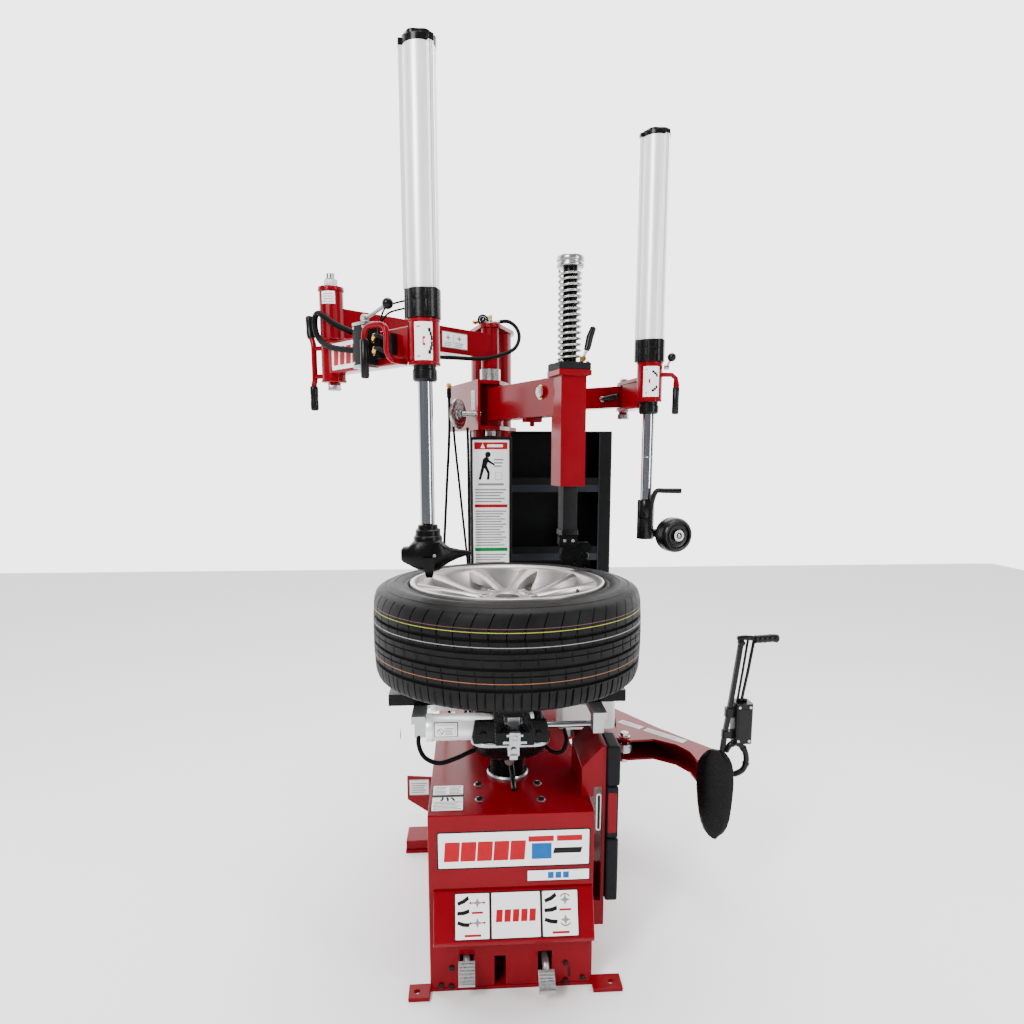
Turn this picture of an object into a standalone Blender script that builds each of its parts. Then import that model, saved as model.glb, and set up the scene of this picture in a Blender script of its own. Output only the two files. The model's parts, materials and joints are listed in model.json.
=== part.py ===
"""Swing-arm tire changer with two pneumatic helper arms, a clamped wheel and a bead breaker.

Metres, +Z up. The origin is on the floor under the turntable axis and the operator stands
at -Y. Every physical piece is one closed solid in its own named object.
"""
import math

import bmesh
import bpy
from mathutils import Matrix, Vector

# ---------------------------------------------------------------- driving dimensions (m)
BODY_X = (-0.1975, 0.1925)       # sheet-metal body, left and right faces
BODY_Y = (-0.218, 0.598)         # front and back faces
DECK_Z = 0.4525                  # top of the deck
SHEET = 0.004                    # body sheet thickness
BASE_T = 0.010                   # floor plate thickness
GAP = 0.0004                     # air left between neighbouring pieces

AXIS = (0.0, 0.0)                # turntable axis
TABLE_Z = (0.655, 0.685)         # four-armed table casting
TABLE_ARM = 0.300                # table arm length
CLAMP_Y = 0.100                  # clamp cylinders sit this far in front of and behind the axis
CLAMP_Z = 0.6205
CLAMP_R = 0.034

TYRE_R = 0.334                   # 235/45 R18 tyre
RIM_R = 0.243                    # rim flange radius
WHEEL_Z = (0.7205, 0.967)        # rim flanges, bottom and top

PIVOT = (-0.024, 0.537)          # pivot pin of the swing arm and the left inner arm
MAST = (-0.0165, 0.670)          # round mast behind the column
MAST_R = 0.067
POST = (0.170, 0.138)            # square post of the swing arm
POST_TURN = math.radians(14)     # the post is turned this much about Z
SWING_Z = (1.380, 1.479)

L_HINGE = (-0.438, 0.145)        # left helper: hinge between inner and outer arm
L_TOWER = (-0.189, -0.131)       # left helper: cylinder axis
R_HINGE = (0.360, 0.340)         # right helper: hinge
R_TOWER = (0.390, 0.164)         # right helper: cylinder axis
TUBE_R = 0.0355                  # profile tube of both lift cylinders
TUBE_BORE = 0.0315
STOP_AT = Vector((-0.126, 0.470, 1.399))   # round stop plate left of the arm bracket
STOP_R = 0.0450

BREAKER_PIVOT = (0.270, 0.470)   # bead breaker arm pivot
BREAKER_PIN = (0.370, 0.262)     # where its cylinder rod pushes
BREAKER_Z = (0.366, 0.430)       # bottom and top of the channel arm
ROD_Z = 0.398                    # bead breaker cylinder axis height

COLORS = {
    "red_paint": ((0.45, 0.012, 0.02, 1), 0.0, 0.3),
    "black_paint": ((0.018, 0.018, 0.02, 1), 0.0, 0.45),
    "cast_black": ((0.03, 0.03, 0.032, 1), 0.1, 0.5),
    "chrome_rod": ((0.75, 0.76, 0.78, 1), 1.0, 0.12),
    "steel": ((0.5, 0.51, 0.53, 1), 1.0, 0.35),
    "tube_aluminium": ((0.78, 0.79, 0.8, 1), 0.8, 0.35),
    "rim_aluminium": ((0.6, 0.6, 0.61, 1), 1.0, 0.25),
    "rubber_pad": ((0.02, 0.02, 0.02, 1), 0.0, 0.8),
    "tyre_rubber": ((0.022, 0.022, 0.023, 1), 0.0, 0.7),
    "black_plastic": ((0.02, 0.02, 0.021, 1), 0.0, 0.35),
    "white_plastic": ((0.8, 0.8, 0.78, 1), 0.0, 0.4),
}


# ---------------------------------------------------------------- solids as (points, faces)
def box(x0, x1, y0, y1, z0, z1):
    pts = [(x, y, z) for z in (z0, z1) for x, y in ((x0, y0), (x1, y0), (x1, y1), (x0, y1))]
    faces = [(3, 2, 1, 0), (4, 5, 6, 7), (0, 1, 5, 4), (1, 2, 6, 5), (2, 3, 7, 6), (3, 0, 4, 7)]
    return pts, faces


def loft(rings):
    """Closed solid through rings of equal length, capped at both ends."""
    n = len(rings[0])
    pts = [tuple(p) for ring in rings for p in ring]
    faces = [tuple(reversed(range(n)))]
    for k in range(len(rings) - 1):
        a, b = k * n, (k + 1) * n
        faces += [(a + i, a + (i + 1) % n, b + (i + 1) % n, b + i) for i in range(n)]
    last = (len(rings) - 1) * n
    faces.append(tuple(range(last, last + n)))
    return pts, faces


def prism(outline, z0, z1):
    return loft([[(x, y, z0) for x, y in outline], [(x, y, z1) for x, y in outline]])


def prism_x(outline_yz, x0, x1):
    return loft([[(x0, y, z) for y, z in outline_yz], [(x1, y, z) for y, z in outline_yz]])


def prism_y(outline_xz, y0, y1):
    return loft([[(x, y0, z) for x, z in outline_xz], [(x, y1, z) for x, z in outline_xz]])


def revolve(profile, centre=(0, 0), n=18, closed=False, z0=0.0, turn=0.0):
    """Turn (r, z) points about a vertical line. An open profile starts and ends at r = 0."""
    pts, rows = [], []
    for r, z in profile:
        if r < 1e-9:
            rows.append([len(pts)])
            pts.append((centre[0], centre[1], z + z0))
            continue
        rows.append(list(range(len(pts), len(pts) + n)))
        for i in range(n):
            a = turn + 2 * math.pi * i / n
            pts.append((centre[0] + r * math.cos(a), centre[1] + r * math.sin(a), z + z0))
    faces = []
    pairs = list(zip(rows, rows[1:])) + ([(rows[-1], rows[0])] if closed else [])
    for a, b in pairs:
        for i in range(n):
            j = (i + 1) % n
            if len(a) == 1 and len(b) == 1:
                continue
            if len(a) == 1:
                faces.append((a[0], b[i], b[j]))
            elif len(b) == 1:
                faces.append((a[i], a[j], b[0]))
            else:
                faces.append((a[i], a[j], b[j], b[i]))
    return pts, faces


def disc(centre, r, z0, z1, n=18, turn=0.0):
    return revolve([(0, z0), (r, z0), (r, z1), (0, z1)], centre, n, turn=turn)


def ring(centre, outer, inner, z0, z1, n=18):
    return revolve([(inner, z0), (outer, z0), (outer, z1), (inner, z1)], centre, n, closed=True)


def frame_to(p0, p1):
    d = (Vector(p1) - Vector(p0)).normalized()
    return Matrix.Translation(Vector(p0)) @ d.to_track_quat("Z", "Y").to_matrix().to_4x4()


def moved(solid, matrix):
    return [tuple(matrix @ Vector(p)) for p in solid[0]], solid[1]


def rod(p0, p1, r, n=16, r1=None):
    length = (Vector(p1) - Vector(p0)).length
    return moved(revolve([(0, 0), (r, 0), (r1 or r, length), (0, length)], n=n), frame_to(p0, p1))


def bar_along(points, radii, n=8):
    """Round bar through points; radii is one number or one per point."""
    pts = [Vector(p) for p in points]
    if not hasattr(radii, "__len__"):
        radii = [radii] * len(pts)
    tangents = []
    for i, p in enumerate(pts):
        before = (p - pts[i - 1]).normalized() if i else None
        after = (pts[i + 1] - p).normalized() if i + 1 < len(pts) else None
        tangents.append(((before or after) + (after or before)).normalized())
    side = tangents[0].orthogonal().normalized()
    rings = []
    for p, t, r in zip(pts, tangents, radii):
        side = (side - side.dot(t) * t).normalized()
        other = t.cross(side)
        rings.append([p + r * (math.cos(a) * side + math.sin(a) * other)
                      for a in (2 * math.pi * i / n for i in range(n))])
    return loft(rings)


def ball(centre, r, n=12, rows=6):
    prof = [(r * math.sin(math.pi * k / rows), -r * math.cos(math.pi * k / rows)) for k in range(rows + 1)]
    prof[0], prof[-1] = (0, -r), (0, r)
    return moved(revolve(prof, n=n), Matrix.Translation(Vector(centre)))


def beam(p0, p1, width, z0, z1, start=0.0, stop=0.0):
    """Straight horizontal bar between two plan points, cut back at each end."""
    a, b = Vector(p0), Vector(p1)
    d = (b - a).normalized()
    side = Vector((-d.y, d.x)) * width / 2
    a, b = a + d * start, b - d * stop
    return prism([a - side, b - side, b + side, a + side], z0, z1)


def turned_box(centre, size_x, size_y, z0, z1, turn):
    c, s = math.cos(turn), math.sin(turn)
    corners = [(-1, -1), (1, -1), (1, 1), (-1, 1)]
    out = []
    for i, j in corners:
        x, y = i * size_x / 2, j * size_y / 2
        out.append((centre[0] + c * x - s * y, centre[1] + s * x + c * y))
    return prism(out, z0, z1)


def round_rect(hx, hy, r, n=4):
    out = []
    for cx, cy, a0 in ((hx - r, hy - r, 0), (r - hx, hy - r, 90), (r - hx, r - hy, 180), (hx - r, r - hy, 270)):
        for k in range(n + 1):
            a = math.radians(a0 + 90 * k / n)
            out.append((cx + r * math.cos(a), cy + r * math.sin(a)))
    return out


def ribbed_circle(r, ribs, n=24, width=0.012, height=0.008):
    """Circle outline with square ribs at the given angles (degrees)."""
    out = []
    half = math.degrees(math.asin(width / 2 / r))
    for i in range(n):
        a = 360 * i / n
        if all(abs((a - b + 180) % 360 - 180) > half + 3 for b in ribs):
            out.append((a, r))
    for b in ribs:
        outer = r + height
        tip = math.degrees(math.atan2(width / 2, outer))
        out += [(b - half, r), (b - half + (half - tip), math.hypot(outer, width / 2)),
                (b + half - (half - tip), math.hypot(outer, width / 2)), (b + half, r)]
    out = [((a % 360), q) for a, q in out]
    out.sort()
    return [(q * math.cos(math.radians(a)), q * math.sin(math.radians(a))) for a, q in out]


def shifted(outline, centre):
    return [(x + centre[0], y + centre[1]) for x, y in outline]


# ---------------------------------------------------------------- turning solids into objects
def clear_scene():
    for obj in list(bpy.data.objects):
        bpy.data.objects.remove(obj, do_unlink=True)


def material(name, slot):
    color, metallic, rough = COLORS[slot]
    mat = bpy.data.materials.new(name + "_" + slot)
    mat.use_nodes = True
    shader = mat.node_tree.nodes["Principled BSDF"]
    shader.inputs["Base Color"].default_value = color
    shader.inputs["Metallic"].default_value = metallic
    shader.inputs["Roughness"].default_value = rough
    mat.diffuse_color = color
    return mat


def raw_object(name, solid):
    mesh = bpy.data.meshes.new(name)
    mesh.from_pydata([tuple(p) for p in solid[0]], [], solid[1])
    bm = bmesh.new()
    bm.from_mesh(mesh)
    bmesh.ops.recalc_face_normals(bm, faces=bm.faces)
    bm.to_mesh(mesh)
    bm.free()
    obj = bpy.data.objects.new(name, mesh)
    bpy.context.scene.collection.objects.link(obj)
    return obj


def piece(name, slot, solids, cuts=(), origin=(0, 0, 0), sharp=32):
    """Join solids, take the cuts away, and leave one object called name."""
    solids = solids if isinstance(solids, list) else [solids]
    obj = raw_object(name, solids[0])
    helpers = []
    for operation, group in (("UNION", solids[1:]), ("DIFFERENCE", cuts)):
        for solid in group:
            other = raw_object("helper", solid)
            helpers.append(other)
            step = obj.modifiers.new("step", "BOOLEAN")
            step.operation, step.solver, step.object = operation, "EXACT", other
    if helpers:
        graph = bpy.context.evaluated_depsgraph_get()
        graph.update()
        done = bpy.data.meshes.new_from_object(obj.evaluated_get(graph))
        obj.modifiers.clear()
        obj.data = done
        for other in helpers:
            bpy.data.objects.remove(other, do_unlink=True)
    finish(obj, slot, origin, sharp)
    return obj


def finish(obj, slot, origin, sharp):
    mesh = obj.data
    bm = bmesh.new()
    bm.from_mesh(mesh)
    bmesh.ops.remove_doubles(bm, verts=bm.verts, dist=2e-6)
    bmesh.ops.dissolve_degenerate(bm, edges=bm.edges, dist=2e-6)
    bmesh.ops.dissolve_limit(bm, angle_limit=math.radians(0.2), verts=bm.verts, edges=bm.edges)
    bmesh.ops.triangulate(bm, faces=bm.faces)
    limit = math.radians(sharp)
    for face in bm.faces:
        face.smooth = True
    for edge in bm.edges:
        edge.smooth = len(edge.link_faces) == 2 and edge.calc_face_angle(0) < limit
    bmesh.ops.translate(bm, verts=bm.verts, vec=-Vector(origin))
    bm.to_mesh(mesh)
    bm.free()
    mesh.name = obj.name
    mesh.materials.clear()
    mesh.materials.append(material(obj.name, slot))
    obj.location = origin


# ---------------------------------------------------------------- body, column and fittings
def make_body():
    x0, x1 = BODY_X
    y0, y1 = BODY_Y
    outline = [(x0, y0), (x1, y0), (x1, -0.244), (0.265, -0.244), (0.265, -0.195), (x1, -0.195), (x1, 0.378),
               (0.262, 0.378), (0.262, 0.440), (x1, 0.440), (x1, 0.765), (x0, 0.765), (x0, 0.481),
               (-0.309, 0.481), (-0.309, 0.378), (x0, 0.378), (x0, -0.201), (-0.249, -0.201),
               (-0.249, -0.248), (x0, -0.248)]
    holes = [disc(c, 0.007, -0.01, 0.03, 12) for c in ((-0.228, -0.226), (0.238, -0.221), (-0.285, 0.43),
                                                      (0.238, 0.41))]
    piece("base_frame", "red_paint", prism(outline, 0, BASE_T), holes)

    z0 = BASE_T + GAP
    shell = box(x0, x1, y0, y1, z0, DECK_Z)
    inner = box(x0 + SHEET, x1 - SHEET, y0 + SHEET, y1 - SHEET, -0.05, DECK_Z - SHEET)
    slots = [box(-0.126, -0.094, y0 - 0.02, y0 + 0.02, 0.022, 0.096),
             box(-0.043, -0.017, y0 - 0.02, y0 + 0.02, -0.02, 0.089),
             box(0.062, 0.094, y0 - 0.02, y0 + 0.02, 0.018, 0.096)]
    neck = disc(AXIS, 0.0463, DECK_Z - 0.02, DECK_Z + 0.02, 24)
    window = box(x1 - 0.02, x1 + 0.02, 0.262 - 0.042, 0.262 + 0.042, ROD_Z - 0.03, ROD_Z + 0.03)
    piece("cabinet_shell", "red_paint", shell, [inner, neck, window] + slots)

    face = [(y0 - GAP, 0.266), (y0 - 0.006, 0.266), (-0.262, 0.158), (-0.258, 0.148), (y0 - GAP, 0.125)]
    piece("control_panel", "red_paint", prism_x(face, -0.186, 0.1905))

    side = [(x1 + GAP, 0.110), (0.2325, 0.110), (0.2325, 0.583), (0.222, 0.583), (0.172, 0.530),
            (0.172, DECK_Z + GAP), (0.203, DECK_Z + GAP), (0.203, 0.478), (0.222, 0.478), (0.222, 0.178),
            (x1 + GAP, 0.178)]
    piece("side_wall_plate", "red_paint", prism_y(side, -0.150, 0.020))
    for name, z_low, z_top, x_out in (("pad_top", 0.484, 0.585, 0.265), ("pad_mid", 0.349, 0.481, 0.262),
                                      ("pad_bottom", 0.181, 0.346, 0.264)):
        pad = [(0.2329, -0.160), (x_out, -0.160), (x_out, -0.070), (0.2329, -0.070)]
        piece(name, "rubber_pad", prism(pad, z_low, z_top))
    card = [(x0 - GAP, 0.340), (-0.262, 0.385), (-0.262, 0.450), (x0 - GAP, 0.445)]
    piece("side_placard", "red_paint", prism_y(card, -0.004, 0.0))

    profile = [(0, 0.06), (0.072, 0.06), (0.072, 0.24), (0.088, 0.25), (0.088, 0.43), (0.0455, 0.43),
               (0.0455, DECK_Z + GAP), (0.0515, DECK_Z + GAP), (0.0515, 0.465), (0.0445, 0.465),
               (0.0445, 0.500), (0, 0.500)]
    piece("gearmotor", "cast_black", [revolve(profile, AXIS, 24), box(-0.12, 0.12, -0.12, 0.12, 0.27, 0.40)])

    bucket = round_rect(0.087, 0.045, 0.018)
    inside = round_rect(0.083, 0.041, 0.015)
    piece("lube_bucket", "white_plastic", prism(shifted(bucket, (0.257, 0.315)), DECK_Z + GAP, 0.535),
          [prism(shifted(inside, (0.257, 0.315)), DECK_Z + 0.004, 0.60)])


def make_column():
    cx = (BODY_X[0] + 0.1085, BODY_X[0] + 0.2385)
    tube = box(cx[0], cx[1], 0.475, 0.595, DECK_Z + GAP, 1.330)
    inner = box(cx[0] + 0.005, cx[1] - 0.005, 0.480, 0.590, DECK_Z - 0.02, 1.322)
    piece("column", "black_paint", tube, [inner])

    head = hull_of_circles(MAST, 0.076, PIVOT, 0.034)
    piece("mast", "red_paint", [ring(MAST, MAST_R, 0.060, BASE_T + GAP, 1.668, 28), prism(head, 1.6645, 1.6765)],
          [disc(PIVOT, 0.0129, 1.64, 1.70, 20)])

    # fixed C bracket that carries the swing-arm pivot, welded round the mast
    left = [(-0.065, 0.452), (-0.057, 0.452), (-0.152, 0.722), (-0.160, 0.722)]
    plan = [(-0.065, 0.452), (0.004, 0.492), (0.022, 0.540), (0.040, 0.600), (0.066, 0.655),
            (0.060, 0.700), (-0.060, 0.7385), (-0.160, 0.722)]
    around = disc(MAST, MAST_R + GAP, 1.30, 1.55, 28)
    hole = disc(PIVOT, 0.0129, 1.30, 1.55, 20)
    flat = Vector((0.875, -0.485, 0)) * 0.003
    knob = [rod(STOP_AT - flat, STOP_AT + flat, STOP_R, 28),
            rod(STOP_AT, STOP_AT + Vector((0.071, 0, 0)), 0.0065, 12)]
    piece("arm_bracket", "red_paint",
          [prism(plan, 1.4905, 1.5025), prism(plan, 1.3520, 1.3640), prism(left, 1.355, 1.500)] + knob,
          [around, hole])
    pin = [(0, 1.3335), (0.0160, 1.3335), (0.0160, 1.3515), (0.0125, 1.3515), (0.0125, 1.5030),
           (0.0320, 1.5030), (0.0320, 1.5400), (0.0125, 1.5400), (0.0125, 1.6850), (0, 1.6850)]
    piece("pivot_pin", "steel", revolve(pin, PIVOT, 20))

    make_storage()
    block = [box(-0.028, 0.012, 0.585, 0.625, 1.6770, 1.6990), rod((-0.007, 0.604, 1.690), (-0.007, 0.604, 1.7080), 0.0100, 12),
             rod((-0.015, 0.596, 1.688), (-0.074, 0.566, 1.688), 0.0075, 12),
             rod((-0.036, 0.572, 1.6935), (-0.052, 0.562, 1.6950), 0.0165, 16)]
    piece("air_regulator", "steel", block)

    px, py = BREAKER_PIVOT
    z0, z1 = BREAKER_Z
    x1 = BODY_X[1] + GAP
    plate = [(x1, py - 0.055), (px + 0.02, py - 0.028), (px + 0.028, py), (px + 0.02, py + 0.028), (x1, py + 0.055)]
    piece("breaker_bracket", "red_paint",
          [box(x1, x1 + 0.010, py - 0.055, py + 0.055, z0 - 0.030, z1 + 0.014),
           prism(plate, z0 - 0.011, z0 - 0.001), prism(plate, z1 + 0.001, z1 + 0.011),
           disc(BREAKER_PIVOT, 0.0140, z0 - 0.006, z1 + 0.006, 20)])


def hull_of_circles(c0, r0, c1, r1, n=16):
    """Outline around two circles, the first behind the second along Y."""
    a = Vector(c1) - Vector(c0)
    base = math.atan2(a.y, a.x)
    lean = math.acos((r0 - r1) / a.length)
    out = []
    for k in range(n + 1):
        ang = base + lean + (2 * math.pi - 2 * lean) * k / n
        out.append((c0[0] + r0 * math.cos(ang), c0[1] + r0 * math.sin(ang)))
    for k in range(9):
        ang = base - lean + 2 * lean * k / 8
        out.append((c1[0] + r1 * math.cos(ang), c1[1] + r1 * math.sin(ang)))
    return out


def make_storage():
    x0, x1, y0, y1, z0, z1 = -0.090, 0.410, 0.743, 0.930, 0.620, 1.356
    t = 0.005
    inner = box(x0 + t, x1 - t, y0 - 0.02, y1 - t, z0 + t, z1 - t)
    parts = [box(x0 + 0.002, x1 - 0.002, y0 + 0.001, y1 - 0.002, z, z + t) for z in (1.150, 0.905)]
    lips = [box(x0 + 0.001, x1 - 0.001, y0, y0 + t, z, z + 0.050) for z in (1.144, 0.899)]
    posts = [box(0.364, x1, y0 - 0.002, y0 + 0.004, z0 + 0.001, z1 - 0.001)]
    shell = raw_object("shell", box(x0, x1, y0, y1, z0, z1))
    hollow = raw_object("hollow", inner)
    step = shell.modifiers.new("step", "BOOLEAN")
    step.operation, step.solver, step.object = "DIFFERENCE", "EXACT", hollow
    graph = bpy.context.evaluated_depsgraph_get()
    graph.update()
    mesh = bpy.data.meshes.new_from_object(shell.evaluated_get(graph))
    solid = ([tuple(v.co) for v in mesh.vertices], [tuple(p.vertices) for p in mesh.polygons])
    for obj in (shell, hollow):
        bpy.data.objects.remove(obj, do_unlink=True)
    piece("storage_cabinet", "black_paint", [solid] + parts + lips + posts)


def make_pedals():
    for name, x in (("pedal_left", -0.110), ("pedal_right", 0.078)):
        pivot = (x, -0.060, 0.062)
        pad = [(-0.233, 0.101), (-0.223, 0.092), (-0.272, 0.040), (-0.290, 0.046), (-0.290, 0.052)]
        arm = [(-0.050, 0.052), (-0.050, 0.072), (-0.150, 0.072), (-0.236, 0.090), (-0.240, 0.070), (-0.150, 0.050)]
        piece(name, "steel", [prism_x(arm, x - 0.007, x + 0.007), prism_x(pad, x - 0.020, x + 0.020),
                              rod((x - 0.020, -0.060, 0.062), (x + 0.020, -0.060, 0.062), 0.014, 14)],
              origin=pivot)


# ---------------------------------------------------------------- bead breaker
def make_breaker():
    y = BREAKER_PIN[1]
    tail = (-0.160, y, ROD_Z)
    body = [(0, 0.020), (0.042, 0.020), (0.042, 0.250), (0.020, 0.250), (0.020, 0.262), (0.0124, 0.262),
            (0.0124, 0.240), (0.036, 0.240), (0.036, 0.035), (0, 0.035)]
    barrel = moved(revolve(body, n=20), frame_to(tail, (1, y, ROD_Z)))
    piece("bead_barrel", "tube_aluminium", [barrel, box(-0.172, -0.138, y - 0.012, y + 0.012, ROD_Z - 0.02, ROD_Z + 0.02)],
          origin=tail)
    pin_x = BREAKER_PIN[0]
    shaft = [(0, 0.120), (0.0348, 0.120), (0.0348, 0.138), (0.012, 0.138), (0.012, pin_x + 0.160 - 0.018),
             (0, pin_x + 0.160 - 0.018)]
    shaft = moved(revolve(shaft, n=24), frame_to(tail, (1, y, ROD_Z)))
    eye = ring(BREAKER_PIN, 0.0235, 0.0160, ROD_Z - 0.012, ROD_Z + 0.012, 20)
    piece("bead_rod", "chrome_rod", [shaft, eye], origin=(pin_x, y, ROD_Z))

    # channel arm, open towards the body; each station is (outer point, inner point)
    stations = [((0.240, 0.500), (0.244, 0.442)), ((0.268, 0.535), (0.262, 0.420)), ((0.330, 0.540), (0.298, 0.340)),
                ((0.391, 0.495), (0.330, 0.262)), ((0.440, 0.411), (0.379, 0.233)), ((0.495, 0.317), (0.455, 0.238)),
                ((0.550, 0.239), (0.510, 0.195)), ((0.602, 0.166), (0.535, 0.143)), ((0.626, 0.112), (0.537, 0.085))]
    z0, z1 = BREAKER_Z
    t = 0.006
    rings = []
    for outer, inner in stations:
        o, i = Vector(outer), Vector(inner)
        w = o + (i - o).normalized() * t
        rings.append([(o.x, o.y, z0), (i.x, i.y, z0), (i.x, i.y, z0 + t), (w.x, w.y, z0 + t),
                      (w.x, w.y, z1 - t), (i.x, i.y, z1 - t), (i.x, i.y, z1), (o.x, o.y, z1)])
    pin = disc(BREAKER_PIN, 0.0080, z0 + 0.002, z1 - 0.002, 16)
    head = disc(BREAKER_PIN, 0.0130, z1 - 0.001, z1 + 0.014, 6)
    foot = disc(BREAKER_PIN, 0.0130, z0 - 0.014, z0 + 0.001, 6)
    boss = disc(BREAKER_PIVOT, 0.027, z0 + 0.0005, z1 - 0.0005, 24)
    tip = beam((0.576, 0.135), (0.580, 0.085), 0.050, z0 + 0.0006, z1 - 0.0006)
    shelf = beam((0.600, 0.130), (0.604, 0.064), 0.030, z0 + 0.0009, z1 - 0.0009)
    ear = disc((0.582, 0.088), 0.0090, z0 - 0.012, z0 + 0.002, 16)
    piece("breaker_arm", "red_paint", [loft(rings), pin, head, foot, boss, tip, shelf, ear],
          [disc(BREAKER_PIVOT, 0.0144, z0 - 0.02, z1 + 0.02, 20)], origin=(*BREAKER_PIVOT, z0))

    make_shoe()
    x, y = 0.604, 0.080
    bar = bar_along([(x, y, z1 + 0.0005), (x + 0.002, y, 0.470), (0.640, y, 0.735), (0.652, y, 0.766),
                     (0.690, y, 0.778), (0.747, y, 0.781)], [0.011, 0.010, 0.009, 0.009, 0.0095, 0.0110])
    trigger = bar_along([(0.6525, y, 0.595), (0.686, y, 0.742), (0.690, y, 0.772)], 0.0045, 8)
    valve = turned_box((0.655, y), 0.048, 0.050, 0.487, 0.602, 0.0)
    strut = box(0.6115, 0.642, y - 0.0075, y + 0.0085, 0.5330, 0.5625)
    piece("breaker_handle", "black_plastic", [bar, trigger, valve, strut], origin=(x, y, z1))


def make_shoe():
    """Leaf-shaped blade, bowed, hanging from the ear below the arm tip."""
    hinge = Vector((0.582, 0.088))
    normal = Vector((-0.42, -0.907)).normalized()
    across = Vector((-normal.y, normal.x))
    outline = [(0.000, 0.4830), (0.030, 0.478), (0.050, 0.448), (0.057, 0.408), (0.056, 0.352), (0.047, 0.292),
               (0.032, 0.242), (0.010, 0.2145), (-0.006, 0.218), (-0.028, 0.262), (-0.050, 0.332), (-0.058, 0.388),
               (-0.052, 0.433), (-0.028, 0.468)]
    front, back = [], []
    for s, z in outline:
        bow = 0.050 - 3.5 * s * s - 0.9 * min(0.0, z - 0.36) ** 2
        for face, depth in ((front, bow + 0.009), (back, bow)):
            p = hinge + across * (s + 0.013) + normal * depth
            face.append((p.x, p.y, z))
    z0 = BREAKER_Z[0]
    knuckle = ring(hinge, 0.0150, 0.0094, z0 - 0.026, z0 - 0.0006, 20)
    web_end = hinge + normal * 0.053
    web = beam(hinge, web_end, 0.016, z0 - 0.0255, z0 - 0.001, start=0.012)
    piece("breaker_shoe", "cast_black", [loft([back, front]), knuckle, web], origin=(hinge.x, hinge.y, z0))


# ---------------------------------------------------------------- turntable, jaws and wheel
def make_turntable():
    rings = []
    for z, hx, hy, r in ((0.501, 0.047, 0.047, 0.0469), (0.528, 0.066, 0.085, 0.050), (0.548, 0.086, 0.135, 0.045),
                         (0.568, 0.095, 0.158, 0.030)):
        rings.append([(x, y, z) for x, y in round_rect(hx, hy, r, 4)])
    walls = [prism(shifted([(-0.080, -0.014), (0.080, -0.014), (0.080, 0.0), (-0.080, 0.0)], (0, s * 0.158 + (s < 0) * 0.014)),
                   0.560, 0.6345) for s in (-1, 1)]
    lips = [prism([(-0.092, s * 0.150), (0.092, s * 0.150), (0.080, s * 0.170), (-0.080, s * 0.170)][::s], 0.606, 0.6355)
            for s in (-1, 1)]
    centre = disc(AXIS, 0.048, 0.560, TABLE_Z[0] - GAP, 20)
    piece("turntable_hub", "cast_black", [loft(rings), centre] + walls + lips)

    plate = disc(AXIS, 0.115, TABLE_Z[0], TABLE_Z[1], 24)
    arms = [box(-TABLE_ARM, TABLE_ARM, -0.042, 0.042, TABLE_Z[0] + 0.0003, TABLE_Z[1] - 0.0003),
            box(-0.042, 0.042, -TABLE_ARM, TABLE_ARM, TABLE_Z[0] + 0.0006, TABLE_Z[1] - 0.0006)]
    slots = []
    for k in range(4):
        slot = box(0.190, 0.278, -0.0095, 0.0095, TABLE_Z[0] - 0.02, TABLE_Z[1] + 0.02)
        slots.append(moved(slot, Matrix.Rotation(math.pi / 2 * k, 4, "Z")))
    bore = disc(AXIS, 0.030, TABLE_Z[0] - 0.02, TABLE_Z[1] + 0.02, 24)
    piece("table_plate", "cast_black", [plate] + arms, slots + [bore])

    for name, quarter in (("jaw_right", 0), ("jaw_rear", 1), ("jaw_left", 2), ("jaw_front", 3)):
        make_jaw(name, quarter)
    for name, y in (("front", -CLAMP_Y), ("rear", CLAMP_Y)):
        body = [(0, 0.0), (CLAMP_R, 0.0), (CLAMP_R, 0.262), (0.0084, 0.262), (0.0084, 0.246), (0.030, 0.246),
                (0.030, 0.014), (0, 0.014)]
        origin = (-0.2036, y, CLAMP_Z)
        piece("clamp_barrel_" + name, "tube_aluminium",
              moved(revolve(body, n=20), frame_to(origin, (1, y, CLAMP_Z))), origin=origin)
        shaft = [(0, 0.0), (0.0292, 0.0), (0.0292, 0.012), (0.008, 0.012), (0.008, 0.2638), (0, 0.2638)]
        origin = (-0.060, y, CLAMP_Z)
        piece("clamp_rod_" + name, "chrome_rod",
              moved(revolve(shaft, n=20), frame_to(origin, (1, y, CLAMP_Z))), origin=origin)


def make_jaw(name, quarter):
    """Clamp jaw: block on top of the arm, neck through the slot, crosshead or lug below."""
    top = TABLE_Z[1]
    block = [(0.192, top + GAP), (0.262, top + GAP), (0.262, 0.7275), (0.2440, 0.7275), (0.2440, 0.7198),
             (0.212, 0.7198), (0.192, 0.706)]
    parts = [prism_y(block, -0.034, 0.034), box(0.206, 0.236, -0.0090, 0.0090, 0.652, top + 0.004)]
    under = TABLE_Z[0] - GAP
    if quarter in (0, 2):
        parts.append(box(0.2040, 0.238, -0.118, 0.118, 0.6360, under))
        parts += [box(0.2043, 0.2305, y - 0.020, y + 0.020, 0.6020, 0.6370) for y in (-CLAMP_Y + 0.003, CLAMP_Y - 0.003)]
    else:
        parts.append(box(0.204, 0.238, -0.030, 0.030, 0.6360, under))
        parts.append(box(0.2065, 0.2285, -0.010, 0.010, 0.604, 0.6370))
    turn = Matrix.Rotation(math.pi / 2 * quarter, 4, "Z")
    origin = turn @ Vector((0.22, 0, TABLE_Z[1]))
    piece(name, "steel", [moved(p, turn) for p in parts], origin=tuple(origin))


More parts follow.
